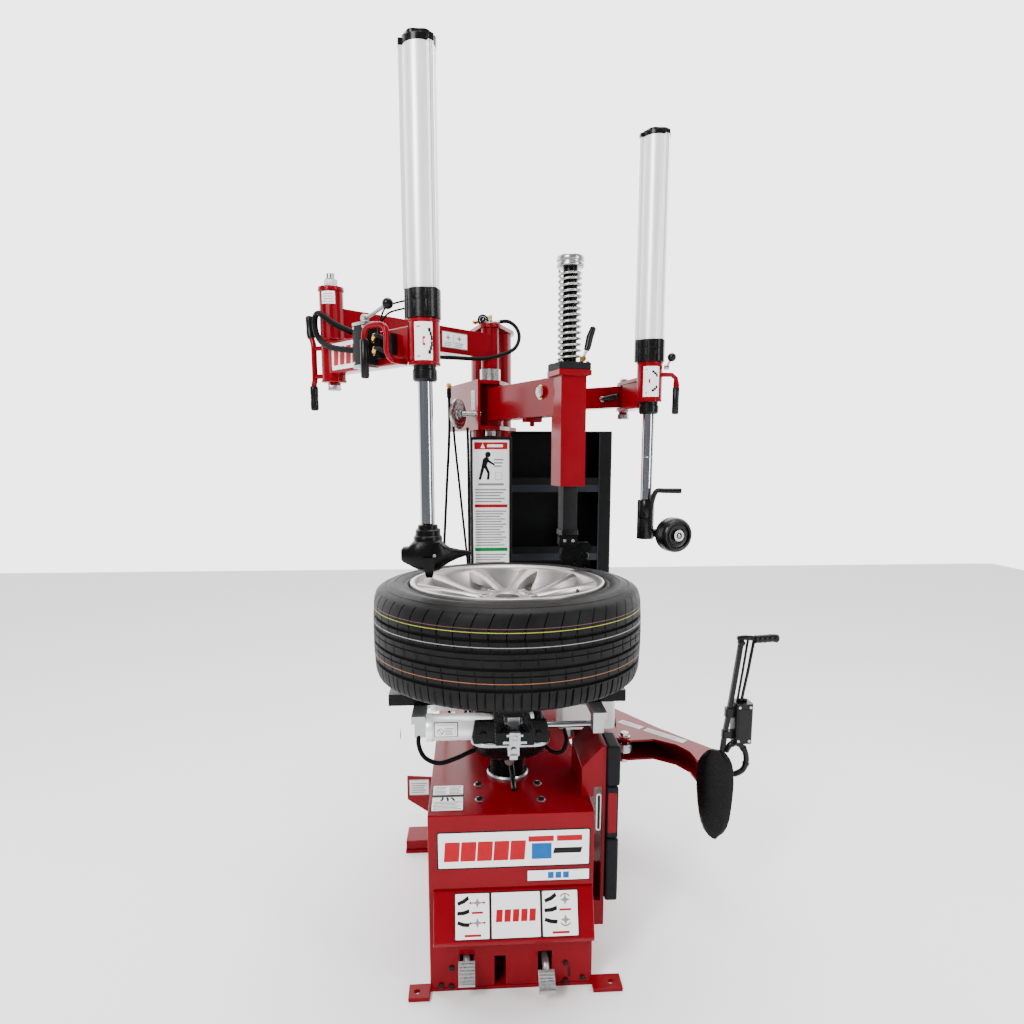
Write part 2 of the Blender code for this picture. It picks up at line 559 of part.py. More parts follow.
def make_wheel():
    low, high = WHEEL_Z
    outer = [(0.2292, low + 0.0115), (0.2440, low + 0.0122), (0.262, 0.7300), (0.288, 0.7286), (0.312, 0.7370),
             (0.3270, 0.7650), (0.3325, 0.800), (TYRE_R, 0.847), (0.3325, 0.894), (0.3270, 0.929), (0.312, 0.957),
             (0.288, 0.9655), (0.262, 0.9630), (0.2440, high - 0.0112), (0.2292, high - 0.0105)]
    inside = [(0.2292, 0.930), (0.290, 0.945), (0.318, 0.915), (0.318, 0.779), (0.290, 0.749), (0.2292, 0.760)]
    piece("tyre", "tyre_rubber", revolve(outer + inside, AXIS, 32, closed=True), sharp=40)

    rim = [(0.2220, low + 0.006), (RIM_R - 0.001, low), (RIM_R, low + 0.0115), (0.2285, low + 0.0110),
           (0.2285, 0.768), (0.205, 0.790), (0.205, 0.895), (0.2285, 0.915), (0.2285, high - 0.0100),
           (RIM_R, high - 0.0105), (RIM_R - 0.001, high), (0.2220, high - 0.006), (0.198, 0.898), (0.198, 0.787)]
    parts = [revolve(rim, AXIS, 32, closed=True),
             revolve([(0.030, 0.880), (0.078, 0.880), (0.084, 0.905), (0.070, 0.921), (0.030, 0.924)],
                     AXIS, 20, closed=True)]
    for k in range(5):
        for s in (-1, 1):
            a0 = math.radians(90 + 72 * k + s * 7)
            a1 = math.radians(90 + 72 * k + s * 16)
            parts.append(spoke(a0, a1))
    piece("rim", "rim_aluminium", parts, sharp=35)


def spoke(a0, a1):
    """One leg of a twin spoke, from the hub ring out into the rim barrel."""
    rings = []
    for r, a, w, z0, z1 in ((0.062, a0, 0.026, 0.892, 0.920), (0.140, (a0 + a1) / 2, 0.020, 0.905, 0.931),
                            (0.2235, a1, 0.026, 0.922, 0.948)):
        c, s = math.cos(a), math.sin(a)
        left, right = (r * c - w / 2 * s, r * s + w / 2 * c), (r * c + w / 2 * s, r * s - w / 2 * c)
        inner_l, inner_r = (r * c - w / 3 * s, r * s + w / 3 * c), (r * c + w / 3 * s, r * s - w / 3 * c)
        rings.append([(*right, z0), (*left, z0), (*left, z1 - 0.006), (*inner_l, z1), (*inner_r, z1),
                      (*right, z1 - 0.006)])
    return loft(rings)


# ---------------------------------------------------------------- swing arm and mount head
def make_swing_arm():
    hub = ring(PIVOT, 0.040, 0.0131, 1.3648, 1.4897, 20)
    arm = beam(PIVOT, POST, 0.060, SWING_Z[0], SWING_Z[1], start=0.028, stop=0.010)
    post = turned_box(POST, 0.070, 0.070, 1.194, 1.4835, POST_TURN)
    top = turned_box(POST, 0.090, 0.090, 1.479, 1.4930, POST_TURN)
    hole = turned_box(POST, 0.0412, 0.0412, 1.10, 1.60, POST_TURN)
    bolt = rod((0.100, 0.196, 1.444), (0.122, 0.205, 1.444), 0.0165, 20)
    stop = [disc((0.088, 0.300), 0.007, SWING_Z[0] - 0.024, SWING_Z[0] + 0.004, 12),
            turned_box((0.088, 0.300), 0.050, 0.030, SWING_Z[0] - 0.012, SWING_Z[0] + 0.004, 0.3)]
    piece("swing_arm", "red_paint", [arm, hub, post, top, bolt] + stop,
          [hole, disc(PIVOT, 0.0131, 1.30, 1.55, 20)], origin=(*PIVOT, 1.43))
    c = POST
    piece("lock_plate", "black_paint", turned_box(c, 0.0875, 0.0875, 1.4934, 1.5110, POST_TURN),
          [turned_box(c, 0.0412, 0.0412, 1.40, 1.60, POST_TURN)], origin=(*c, 1.5022))
    square = turned_box(c, 0.0400, 0.0400, 1.0624, 1.5100, POST_TURN)
    collar = turned_box(c, 0.0460, 0.0460, 1.0630, 1.0780, POST_TURN)
    round_top = [(0, 1.50), (0.0190, 1.50), (0.0190, 1.7495), (0.0360, 1.7495), (0.0360, 1.7590), (0.0330, 1.7620),
                 (0.0360, 1.7650), (0.0345, 1.7760), (0, 1.7760)]
    piece("tool_bar", "steel", [square, collar, revolve(round_top, c, 18)], origin=(*c, 1.50))
    make_spring(c)
    base = (0.200, 0.103, 1.5190)
    lever = [rod((0.200, 0.094, 1.5190), (0.200, 0.112, 1.5190), 0.0075, 14),
             bar_along([base, (0.205, 0.104, 1.538), (0.207, 0.105, 1.545)], [0.0042, 0.0042, 0.0042]),
             bar_along([(0.206, 0.105, 1.541), (0.211, 0.107, 1.556), (0.226, 0.112, 1.603)], [0.006, 0.008, 0.0075])]
    piece("lock_lever", "black_plastic", lever, origin=base)

    # duck-head mounting tool, pointing outwards over the rim edge
    rings = []
    for z, x0, x1, half in ((1.0620, -0.024, 0.028, 0.024), (1.022, -0.026, 0.036, 0.024), (1.000, -0.020, 0.056, 0.021),
                            (0.984, 0.004, 0.066, 0.016), (0.9725, 0.030, 0.068, 0.011)):
        rings.append([(c[0] + x, c[1] + y, z) for x, y in ((x0, -half), (x1, -half * 0.7), (x1, half * 0.7), (x0, half))])
    piece("mount_head", "black_plastic", loft(rings), origin=(*c, 1.062))


def make_spring(c):
    turns, wire, mean, low, high = 15.5, 0.0036, 0.0282, 1.5150, 1.7455
    per_turn, n = 8, 5
    rings = []
    steps = int(turns * per_turn)
    for k in range(steps + 1):
        a = 2 * math.pi * k / per_turn
        z = low + (high - low) * k / steps
        d = Vector((math.cos(a), math.sin(a), 0))
        up = Vector((0, 0, 1))
        centre = Vector((c[0], c[1], z)) + d * mean
        rings.append([centre + wire * (math.cos(b) * d + math.sin(b) * up)
                      for b in (2 * math.pi * i / n for i in range(n))])
    piece("spring", "steel", loft(rings), origin=(*c, 1.5110))


# ---------------------------------------------------------------- helper arms
def lift_cylinder(side, centre, ribs, z_guide, z_tube, z_top, rod_z, rod_r, collar_r, bush_r):
    """Profile tube, cap, guide cartridge and rod of one lift cylinder."""
    z_bush, z_red, z_black = z_guide
    tube = prism(shifted(ribbed_circle(TUBE_R, ribs), centre), z_tube, z_top[0] - GAP)
    piece(side + "_tube", "tube_aluminium", tube, [disc(centre, TUBE_BORE, z_tube - 0.05, z_top[1], 20)],
          origin=(*centre, z_tube))
    cap = prism(shifted(ribbed_circle(TUBE_R + 0.0008, ribs, width=0.013), centre), z_top[0], z_top[1])
    piece(side + "_tube_cap", "black_plastic", cap, origin=(*centre, z_top[0]))
    collar = prism(shifted(ribbed_circle(collar_r, ribs, width=0.014, height=0.0065), centre), z_black, z_tube - GAP)
    guide = [(0, z_bush), (bush_r, z_bush), (bush_r, z_red - GAP), (0.0260, z_red - GAP), (0.0260, z_black + 0.004),
             (0, z_black + 0.004)]
    piece(side + "_guide", "black_plastic", [collar, revolve(guide, centre, 20)],
          [disc(centre, rod_r + 0.0006, z_bush - 0.05, z_top[1], 20)], origin=(*centre, z_bush))
    bottom, top = rod_z
    shaft = [(0, bottom - 0.045), (0.0080, bottom - 0.045), (0.0080, bottom), (rod_r, bottom), (rod_r, top), (0, top)]
    piece(side + "_rod", "chrome_rod", revolve(shaft, centre, 20), origin=(*centre, bottom))


def make_left_helper():
    h, t = L_HINGE, L_TOWER
    inner = [beam(PIVOT, h, 0.046, 1.570, 1.643, start=0.016, stop=0.018),
             disc(PIVOT, 0.0275, 1.5410, 1.6635, 20), disc(h, 0.0300, 1.5626, 1.690, 20),
             disc(h, 0.0320, 1.6885, 1.6935, 20), disc(h, 0.0165, 1.690, 1.712, 6), disc(h, 0.0105, 1.700, 1.727, 14),
             disc(h, 0.0110, 1.440, 1.600, 20), disc(h, 0.0165, 1.4435, 1.4592, 6)]
    piece("left_inner_arm", "red_paint", inner, [disc(PIVOT, 0.0131, 1.50, 1.70, 20)], origin=(*PIVOT, 1.60))

    along = (Vector(t) - Vector(h)).normalized()
    front = Vector((along.y, -along.x))

    def on_arm(s, n, z):
        p = Vector(h) + along * s + front * n
        return (p.x, p.y, z)

    grip = [on_arm(-0.050, 0.030, 1.391), on_arm(-0.050, 0.030, 1.446), on_arm(-0.043, 0.030, 1.464),
            on_arm(-0.043, 0.030, 1.559), on_arm(-0.052, 0.032, 1.580), on_arm(-0.054, 0.032, 1.627)]
    guard = [on_arm(0.266, 0.085, 1.447), on_arm(0.266, 0.085, 1.540), on_arm(0.276, 0.085, 1.556),
             on_arm(0.330, 0.080, 1.556), on_arm(0.340, 0.078, 1.542), on_arm(0.340, 0.078, 1.490),
             on_arm(0.336, 0.060, 1.482), on_arm(0.330, 0.015, 1.482)]
    strap = [on_arm(-0.046, 0.024, 0)[:2], on_arm(-0.012, 0.008, 0)[:2], on_arm(-0.012, 0.022, 0)[:2],
             on_arm(-0.040, 0.036, 0)[:2]]
    outer = [beam(h, t, 0.052, 1.479, 1.557, start=0.014, stop=0.020), disc(h, 0.0300, 1.4600, 1.5620, 20),
             disc(t, 0.0340, 1.4712, 1.5788, 24), bar_along(grip, [0.0092, 0.0092, 0.0075, 0.0075, 0.0092, 0.0092]),
             bar_along(guard, [0.0085, 0.0085, 0.0062, 0.0062, 0.0062, 0.0062, 0.0062, 0.0062]),
             prism(strap, 1.470, 1.482), prism(strap, 1.540, 1.552)]
    piece("left_outer_arm", "red_paint", outer,
          [disc(h, 0.0115, 1.40, 1.60, 20, turn=0.11), disc(t, 0.0268, 1.40, 1.65, 24)], origin=(*h, 1.51))

    def local_block(s0, s1, n0, n1, z0, z1):
        corners = [on_arm(s0, n0, 0), on_arm(s1, n0, 0), on_arm(s1, n1, 0), on_arm(s0, n1, 0)]
        return prism([c[:2] for c in corners], z0, z1)

    block = [local_block(0.186, 0.236, 0.0264, 0.0640, 1.475, 1.577), local_block(0.232, 0.310, 0.0268, 0.044, 1.492, 1.548)]
    piece("left_valve_block", "black_plastic", block, origin=on_arm(0.21, 0.045, 1.577))
    base = on_arm(0.212, 0.045, 1.5870)
    lever = [rod(on_arm(0.212, 0.0385, 1.5870), on_arm(0.212, 0.0515, 1.5870), 0.0092, 16),
             bar_along([base, on_arm(0.240, 0.045, 1.591), on_arm(0.298, 0.045, 1.606)], 0.0042),
             ball(on_arm(0.302, 0.045, 1.607), 0.0125)]
    piece("left_valve_lever", "black_plastic", lever, origin=base)

    lift_cylinder("left", t, (188, -52), (1.437, 1.4712, 1.5792), 1.6310, (2.109, 2.131), (1.1215, 1.622), 0.0165,
                  0.0385, 0.0272)
    make_press_tool(t)


def make_press_tool(t):
    cone = [(0, 1.060), (0.030, 1.060), (0.034, 1.089), (0.0195, 1.1211), (0, 1.1211)]
    star = [(0.100, -0.006), (0.100, 0.006), (0.060, 0.020), (0.034, 0.030), (0.010, 0.036), (-0.020, 0.034),
            (-0.046, 0.022), (-0.061, 0.020), (-0.061, -0.022), (-0.044, -0.026), (-0.022, -0.034), (-0.014, -0.050),
            (0.022, -0.050), (0.030, -0.036), (0.058, -0.024)]
    star = prism(shifted(star, t), 1.030, 1.0885)
    prong = [[(t[0] + x, t[1] + y, z) for x, y in ((-w, d0), (w, d0), (w, d1), (-w, d1))]
             for z, w, d0, d1 in ((1.003, 0.008, -0.044, -0.028), (1.036, 0.013, -0.0495, -0.010))]
    prong = [[(x + 0.004, y, z) for x, y, z in ring_] for ring_ in prong]
    piece("press_tool", "black_plastic", [revolve(cone, t, 18), star, loft(prong)],
          [disc(t, 0.0085, 1.074, 1.15, 16)], origin=(*t, 1.1211))


def make_right_helper():
    h, t, m = R_HINGE, R_TOWER, MAST
    inner = [beam(m, h, 0.050, 1.412, 1.472, start=0.072, stop=0.004), disc(m, 0.0800, 1.4050, 1.4860, 28),
             disc(h, 0.0185, 1.412, 1.472, 20), disc(h, 0.0090, 1.379, 1.492, 16), disc(h, 0.0135, 1.3785, 1.4008, 6)]
    piece("right_inner_arm", "red_paint", inner, [disc(m, MAST_R + 0.0010, 1.35, 1.55, 28)], origin=(*m, 1.44))

    along = (Vector(t) - Vector(h)).normalized()
    plate = [(-0.018, -0.006), (-0.010, -0.018), (0.010, -0.020), (0.150, -0.024), (0.150, 0.024), (0.010, 0.020),
             (-0.010, 0.018), (-0.018, 0.006)]
    side = Vector((-along.y, along.x))
    plan = [tuple(Vector(h) + along * s + side * n) for s, n in plate]
    web = beam(h, t, 0.036, 1.4020, 1.4820, start=0.034, stop=0.020)
    handle = [(0.418, 0.156, 1.487), (0.448, 0.156, 1.487), (0.459, 0.156, 1.478), (0.461, 0.157, 1.462), (0.461, 0.158, 1.385)]
    outer = [prism(plan, 1.4015, 1.4105), prism(plan, 1.4735, 1.4825), web, disc(t, 0.0335, 1.4162, 1.5186, 24),
             bar_along(handle, [0.0062, 0.0062, 0.0062, 0.0085, 0.0085])]
    piece("right_outer_arm", "red_paint", outer,
          [disc(h, 0.0094, 1.35, 1.55, 16), disc(t, 0.0268, 1.35, 1.60, 24)], origin=(*h, 1.44))

    lift_cylinder("right", t, (188, -62), (1.384, 1.4162, 1.5190), 1.5755, (2.070, 2.086), (1.1545, 1.566), 0.0155,
                  0.0385, 0.0262)

    base = (0.4315, 0.146, 1.505)
    lever = [rod((0.4245, 0.146, 1.505), (0.4365, 0.146, 1.505), 0.0065, 12),
             bar_along([base, (0.4350, 0.140, 1.516), (0.4380, 0.130, 1.5265)], 0.0032, 8),
             ball((0.4385, 0.1285, 1.5285), 0.0115)]
    piece("right_valve_lever", "black_plastic", lever, origin=base)
    make_roller(t)


def make_roller(t):
    face = Vector((0.466, 0.100, 1.062))
    n = Vector((0.309, -0.951, 0)).normalized()
    back = face - n * 0.050
    support = back - n * 0.022
    prof = [(0.0090, 0.0), (0.040, 0.0), (0.045, 0.005), (0.047, 0.015), (0.047, 0.035), (0.045, 0.045),
            (0.040, 0.050), (0.034, 0.050), (0.033, 0.042), (0.015, 0.042), (0.014, 0.048), (0.0090, 0.048)]
    piece("roller", "black_plastic", moved(revolve(prof, n=24, closed=True), frame_to(back, face)), origin=tuple(back))
    # swivelling bracket: sleeve, arm, axle and the bent handle that turns it
    elbow = Vector((t[0], t[1], 1.062))
    arm = bar_along([elbow, elbow + (support - elbow) * 0.5, support], [0.015, 0.012, 0.012])
    crank = [(0.396, 0.146, 1.130), (0.402, 0.140, 1.165), (0.408, 0.136, 1.179), (0.430, 0.130, 1.181), (0.473, 0.120, 1.181)]
    parts = [disc(t, 0.0210, 1.0490, 1.1540, 24), arm, rod(support - n * 0.004, back - n * 0.0006, 0.0125, 14),
             rod(support, face + n * 0.002, 0.0085, 14), bar_along(crank, [0.006, 0.006, 0.006, 0.0062, 0.0068])]
    piece("roller_bracket", "black_plastic", parts, [disc(t, 0.0085, 1.105, 1.20, 16)], origin=(*t, 1.154))


clear_scene()
make_body()
make_column()
make_pedals()
make_breaker()
make_turntable()
make_wheel()
make_swing_arm()
make_left_helper()
make_right_helper()
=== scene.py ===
"""Looks of the swing-arm tire changer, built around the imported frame."""

import json
import math

import bmesh
import bpy
from mathutils import Matrix, Vector


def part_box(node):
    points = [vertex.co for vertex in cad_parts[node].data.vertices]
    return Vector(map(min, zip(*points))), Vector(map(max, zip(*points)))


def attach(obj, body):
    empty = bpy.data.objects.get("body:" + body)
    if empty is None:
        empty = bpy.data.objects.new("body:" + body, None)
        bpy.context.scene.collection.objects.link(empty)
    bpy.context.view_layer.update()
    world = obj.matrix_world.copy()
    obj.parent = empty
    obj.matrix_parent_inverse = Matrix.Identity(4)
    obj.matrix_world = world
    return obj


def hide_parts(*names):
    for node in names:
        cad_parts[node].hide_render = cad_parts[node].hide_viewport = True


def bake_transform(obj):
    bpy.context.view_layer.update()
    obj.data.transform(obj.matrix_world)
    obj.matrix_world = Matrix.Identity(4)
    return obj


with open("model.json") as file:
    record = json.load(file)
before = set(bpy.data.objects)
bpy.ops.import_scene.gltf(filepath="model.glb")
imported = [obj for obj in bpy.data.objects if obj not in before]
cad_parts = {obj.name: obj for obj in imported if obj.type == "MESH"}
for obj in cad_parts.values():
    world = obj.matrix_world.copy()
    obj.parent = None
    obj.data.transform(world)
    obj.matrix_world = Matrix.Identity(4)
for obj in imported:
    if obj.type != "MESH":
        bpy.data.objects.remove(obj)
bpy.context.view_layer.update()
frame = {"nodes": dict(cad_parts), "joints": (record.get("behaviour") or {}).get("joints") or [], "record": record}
JOINTS = {j["name"]: j for j in frame["joints"]}
X, Y, UP = Vector((1, 0, 0)), Vector((0, 1, 0)), Vector((0, 0, 1))
TO_FRONT = -Y


# ---------------------------------------------------------------- places taken from the frame
def joint_at(name, z=None):
    """A joint's position, at its own height or at z."""
    p = Vector(JOINTS[name]["pos_m"])
    return Vector((p.x, p.y, p.z if z is None else z))


def low(node):
    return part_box(node)[0]


def high(node):
    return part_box(node)[1]


def middle(node):
    a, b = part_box(node)
    return (a + b) / 2


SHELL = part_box("cabinet_shell")
DECK = SHELL[1].z
FRONT = SHELL[0].y
LEFT_AXIS = joint_at("presser_swivel", 0)
RIGHT_AXIS = joint_at("roller_carrier_swivel", 0)
LEFT_HINGE = joint_at("left_outer_pivot", 0)
PIVOT = joint_at("swing_arm_pivot", 0)
POST = middle("lock_plate") * Vector((1, 1, 0))
POST_TURN = math.radians(14)                  # the square post stands turned by this much
SWING_TOP = high("swing_arm").z - 0.014
STOP = Vector((-0.126, 0.47, 1.399))         # middle of the big stop plate
BODY_OF = {node: body for body, held in frame["record"]["behaviour"]["bodies"].items() for node in held}
SLOT_OF = {sub["node"]: sub["material_slot"] for sub in frame["record"]["subparts"]}


# ---------------------------------------------------------------- materials
COAT_ROUGHNESS = 0.08
BUMP_DEPTH = 0.0006
TONE_FROM, TONE_TO = 0.3, 0.7                 # noise values between which a colour goes from dark to light
ROUGHNESS_GRAIN = 2.3                         # the roughness drifts this much finer than the colour


def material(name, color, rough, metal=0.0, tone=0.12, grain=40.0, bump=0.0, bump_grain=400.0, spread=0.08,
             coat=0.0, stretch=(1, 1, 1), shine=0.5):
    """Principled surface whose colour and roughness drift with noise, with a fine bump."""
    mat = bpy.data.materials.new(name)
    mat.use_nodes = True
    tree = mat.node_tree
    shader = tree.nodes["Principled BSDF"]
    shader.inputs["Metallic"].default_value = metal
    shader.inputs["Specular IOR Level"].default_value = shine
    shader.inputs["Coat Weight"].default_value = coat
    shader.inputs["Coat Roughness"].default_value = COAT_ROUGHNESS
    place = tree.nodes.new("ShaderNodeTexCoord")
    mapping = tree.nodes.new("ShaderNodeMapping")
    mapping.inputs["Scale"].default_value = stretch
    tree.links.new(place.outputs["Object"], mapping.inputs["Vector"])

    def noise(scale, detail):
        node = tree.nodes.new("ShaderNodeTexNoise")
        node.inputs["Scale"].default_value = scale
        node.inputs["Detail"].default_value = detail
        tree.links.new(mapping.outputs["Vector"], node.inputs["Vector"])
        return node.outputs["Fac"]

    drift = noise(grain, 5)
    ramp = tree.nodes.new("ShaderNodeValToRGB")
    dark = [c * (1 - tone) for c in color]
    light = [min(1, c * (1 + tone)) for c in color]
    for stop, position, shade_color in zip(ramp.color_ramp.elements, (TONE_FROM, TONE_TO), (dark, light)):
        stop.position, stop.color = position, (*shade_color, 1)
    tree.links.new(drift, ramp.inputs["Fac"])
    tree.links.new(ramp.outputs["Color"], shader.inputs["Base Color"])
    polish = tree.nodes.new("ShaderNodeMapRange")
    polish.inputs["To Min"].default_value = max(0.02, rough - spread)
    polish.inputs["To Max"].default_value = rough + spread
    tree.links.new(noise(grain * ROUGHNESS_GRAIN, 3), polish.inputs["Value"])
    tree.links.new(polish.outputs["Result"], shader.inputs["Roughness"])
    if bump:
        relief = tree.nodes.new("ShaderNodeBump")
        relief.inputs["Strength"].default_value = bump
        relief.inputs["Distance"].default_value = BUMP_DEPTH
        tree.links.new(noise(bump_grain, 4), relief.inputs["Height"])
        tree.links.new(relief.outputs["Normal"], shader.inputs["Normal"])
    return mat


M = {
    "red": material("red_enamel", (0.175, 0.0002, 0.005), 0.2, tone=0.08, grain=6, bump=0.04, bump_grain=220,
                    coat=0.03, shine=0.11),
    "black": material("black_powder", (0.004, 0.0043, 0.005), 0.5, tone=0.25, grain=30, bump=0.3,
                      bump_grain=900, shine=0.14),
    "cast": material("cast_black", (0.0026, 0.0026, 0.003), 0.28, tone=0.3, grain=50, bump=0.3,
                     bump_grain=350, shine=0.11),
    "chrome": material("chrome", (0.4, 0.42, 0.46), 0.12, metal=1, tone=0.05, grain=25, spread=0.03,
                       stretch=(1, 1, 0.1)),
    "steel": material("bright_steel", (0.38, 0.39, 0.4), 0.34, metal=0.9, tone=0.06, grain=40, bump=0.04,
                      bump_grain=500),
    "zinc": material("zinc_plate", (0.4, 0.41, 0.4), 0.28, metal=0.95, tone=0.08, grain=40, bump=0.03),
    "tube": material("satin_tube", (0.9, 0.9, 0.9), 0.34, metal=0.3, tone=0.03, grain=30, spread=0.05,
                     stretch=(1, 1, 0.05)),
    "alloy": material("wheel_alloy", (0.43, 0.415, 0.4), 0.34, metal=0.9, tone=0.08, grain=18, spread=0.06,
                      bump=0.1),
    "rubber": material("pad_rubber", (0.005, 0.0055, 0.007), 0.55, tone=0.3, grain=50, bump=0.4, shine=0.12),
    "tyre": material("tyre_rubber", (0.007, 0.007, 0.0075), 0.48, tone=0.25, grain=35, bump=0.35,
                     bump_grain=600, shine=0.09),
    "plastic": material("black_plastic", (0.0035, 0.0035, 0.004), 0.26, tone=0.3, grain=60, bump=0.15,
                        bump_grain=700, shine=0.2),
    "grip": material("dipped_grip", (0.0035, 0.0035, 0.004), 0.3, tone=0.3, grain=45, bump=0.15, shine=0.2),
    "white": material("white_vinyl", (0.95, 0.95, 0.95), 0.4, tone=0.02, grain=35, shine=0.3),
    "pale": material("pale_plastic", (0.72, 0.71, 0.69), 0.45, tone=0.04, grain=25, bump=0.1, shine=0.3),
    "brass": material("brass", (0.6, 0.38, 0.1), 0.25, metal=1, tone=0.15, grain=70, bump=0.1),
    "hose": material("air_hose", (0.0028, 0.0028, 0.0032), 0.55, tone=0.3, grain=80, bump=0.2, shine=0.07),
    "ink": material("black_ink_and_painted_shade", (0.004, 0.004, 0.005), 0.45, tone=0.2, grain=60, shine=0.15),
    "grey_ink": material("grey_ink", (0.22, 0.22, 0.23), 0.5, tone=0.1, grain=200, shine=0.2),
    "red_ink": material("red_ink", (0.38, 0.001, 0.01), 0.45, tone=0.06, grain=60, shine=0.15),
    "blue_ink": material("blue_ink", (0.004, 0.1, 0.34), 0.45, tone=0.06, grain=60, shine=0.15),
    "green_ink": material("green_ink", (0.002, 0.2, 0.04), 0.45, tone=0.06, grain=60, shine=0.15),
    "line_brown": material("line_brown", (0.1, 0.03, 0.026), 0.5, tone=0.2, grain=90),
    "line_yellow": material("line_yellow", (0.34, 0.37, 0.015), 0.5, tone=0.2, grain=90),
    "line_white": material("line_white", (0.26, 0.26, 0.26), 0.5, tone=0.2, grain=90),
    "line_orange": material("line_orange", (0.26, 0.08, 0.02), 0.5, tone=0.2, grain=90),
    "shelf": material("shelf_steel", (0.014, 0.018, 0.026), 0.38, metal=0.1, tone=0.2, grain=8, bump=0.2,
                      bump_grain=500, shine=0.3),
}


# ---------------------------------------------------------------- mesh helpers
BEVEL_ANGLE = math.radians(32)                # sharper edges than this are rounded
WELD_WITHIN = 1e-5                            # the frame's triangles are joined up to this distance


def piece(name, parts, mats, body, smooth=35, bevel=0.0, slot="steel", replaces=None, levels=2):
    """One object from (points, faces, material index) parts, riding on a body."""
    mesh = bpy.data.meshes.new(name)
    points, faces, indices = [], [], []
    for part_points, part_faces, paint in parts:
        base = len(points)
        points += [tuple(p) for p in part_points]
        faces += [[base + i for i in f] for f in part_faces]
        indices += [paint] * len(part_faces)
    mesh.from_pydata(points, [], faces)
    mesh.polygons.foreach_set("material_index", indices)
    for key in [mats] if isinstance(mats, str) else mats:
        mesh.materials.append(M[key])
    bm = bmesh.new()
    bm.from_mesh(mesh)
    bmesh.ops.recalc_face_normals(bm, faces=bm.faces)
    bm.to_mesh(mesh)
    bm.free()
    obj = bpy.data.objects.new(name, mesh)
    bpy.context.scene.collection.objects.link(obj)
    if bevel:
        add_bevel(obj, bevel, levels)
    shade(obj, smooth)
    if body:
        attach(obj, body)
    if replaces:
        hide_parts(replaces)
    return obj


def stand_in(node, name, parts, mats, **looks):
    """Piece shown instead of a CAD node, riding on that node's body."""
    return piece(name, parts, mats, BODY_OF[node], slot=SLOT_OF[node], replaces=node, **looks)


def add_bevel(obj, width, segments=2):
    mod = obj.modifiers.new("Bevel", "BEVEL")
    mod.width, mod.segments = width, segments
    mod.limit_method, mod.angle_limit = "ANGLE", BEVEL_ANGLE
    mod.use_clamp_overlap = True
    mod.harden_normals = False


def shade(obj, angle):
    """Smooth shading with sharp edges above an angle in degrees."""
    for poly in obj.data.polygons:
        poly.use_smooth = True
    mesh = obj.data
    bm = bmesh.new()
    bm.from_mesh(mesh)
    for edge in bm.edges:
        edge.smooth = len(edge.link_faces) == 2 and edge.calc_face_angle(0) < math.radians(angle)
    bm.to_mesh(mesh)
    bm.free()


def dress(obj, key, bevel):
    """Keep a CAD node and give it a finish and rounded edges."""
    obj.data.materials.clear()
    obj.data.materials.append(M[key])
    if bevel:
        weld = obj.modifiers.new("Weld", "WELD")
        weld.merge_threshold = WELD_WITHIN
        flat = obj.modifiers.new("Flat", "DECIMATE")
        flat.decimate_type, flat.angle_limit = "DISSOLVE", math.radians(1)
        add_bevel(obj, bevel)


def shifted(base, *steps):
    """Points at the given steps from a base, each a tuple of two or three numbers."""
    return [tuple(b + s for b, s in zip(base, step)) for step in steps]


def lofted(rings, paint=0):
    """Closed body through rings of equally many points."""
    m = len(rings[0])
    points = [p for ring in rings for p in ring]
    faces = [(i * m + j, i * m + (j + 1) % m, (i + 1) * m + (j + 1) % m, (i + 1) * m + j)
             for i in range(len(rings) - 1) for j in range(m)]
    return points, faces + [tuple(range(m - 1, -1, -1)), tuple(range(len(points) - m, len(points)))], paint


def axes_to(direction):
    """Rotation whose Z is direction."""
    z = Vector(direction).normalized()
    x = UP.cross(z)
    x = x.normalized() if x.length > 1e-6 else X
    return Matrix((x, z.cross(x), z)).transposed().to_4x4()


def turned(profile, at, axis=UP, n=40, paint=0):
    """Solid of revolution of (radius, along) points about an axis through at."""
    turn = Matrix.Translation(Vector(at)) @ axes_to(axis)
    points, faces = [], []
    rows = []
    for r, h in profile:
        if r < 1e-7:
            rows.append([len(points)])
            points.append(turn @ Vector((0, 0, h)))
            continue
        rows.append(list(range(len(points), len(points) + n)))
        points += [turn @ Vector((r * math.cos(a), r * math.sin(a), h))
                   for a in (2 * math.pi * i / n for i in range(n))]
    for a, b in zip(rows, rows[1:]):
        for i in range(n):
            j = (i + 1) % n
            if len(a) == 1 and len(b) == 1:
                break
            if len(a) == 1:
                faces.append((a[0], b[i], b[j]))
            elif len(b) == 1:
                faces.append((a[j], a[i], b[0]))
            else:
                faces.append((a[i], a[j], b[j], b[i]))
    return points, faces, paint


def closed_turned(profile, at, axis=UP, n=40, paint=0):
    """Ring of revolution: the profile is a closed loop."""
    points, faces = turned(profile + [profile[0]], at, axis, n)[:2]
    last = len(profile) * n
    faces = [tuple(i - last if i >= last else i for i in f) for f in faces]
    return points[:last], faces, paint


def rounded_disc(r, h, e, at, axis=UP, n=32, paint=0):
    """Disc or peg with edges rounded by e."""
    prof = [(0, 0), (r - e, 0), (r - 0.3 * e, 0.3 * e), (r, e), (r, h - e), (r - 0.3 * e, h - 0.3 * e),
            (r - e, h), (0, h)]
    return turned(prof, at, axis, n, paint)


def hexagon(r, h, at, axis=UP, paint=0):
    """Hexagonal nut or bolt head."""
    prof = [(0, 0), (r * 0.93, 0), (r, h * 0.08), (r, h * 0.85), (r * 0.9, h), (0, h)]
    return turned(prof, at, axis, 6, paint)


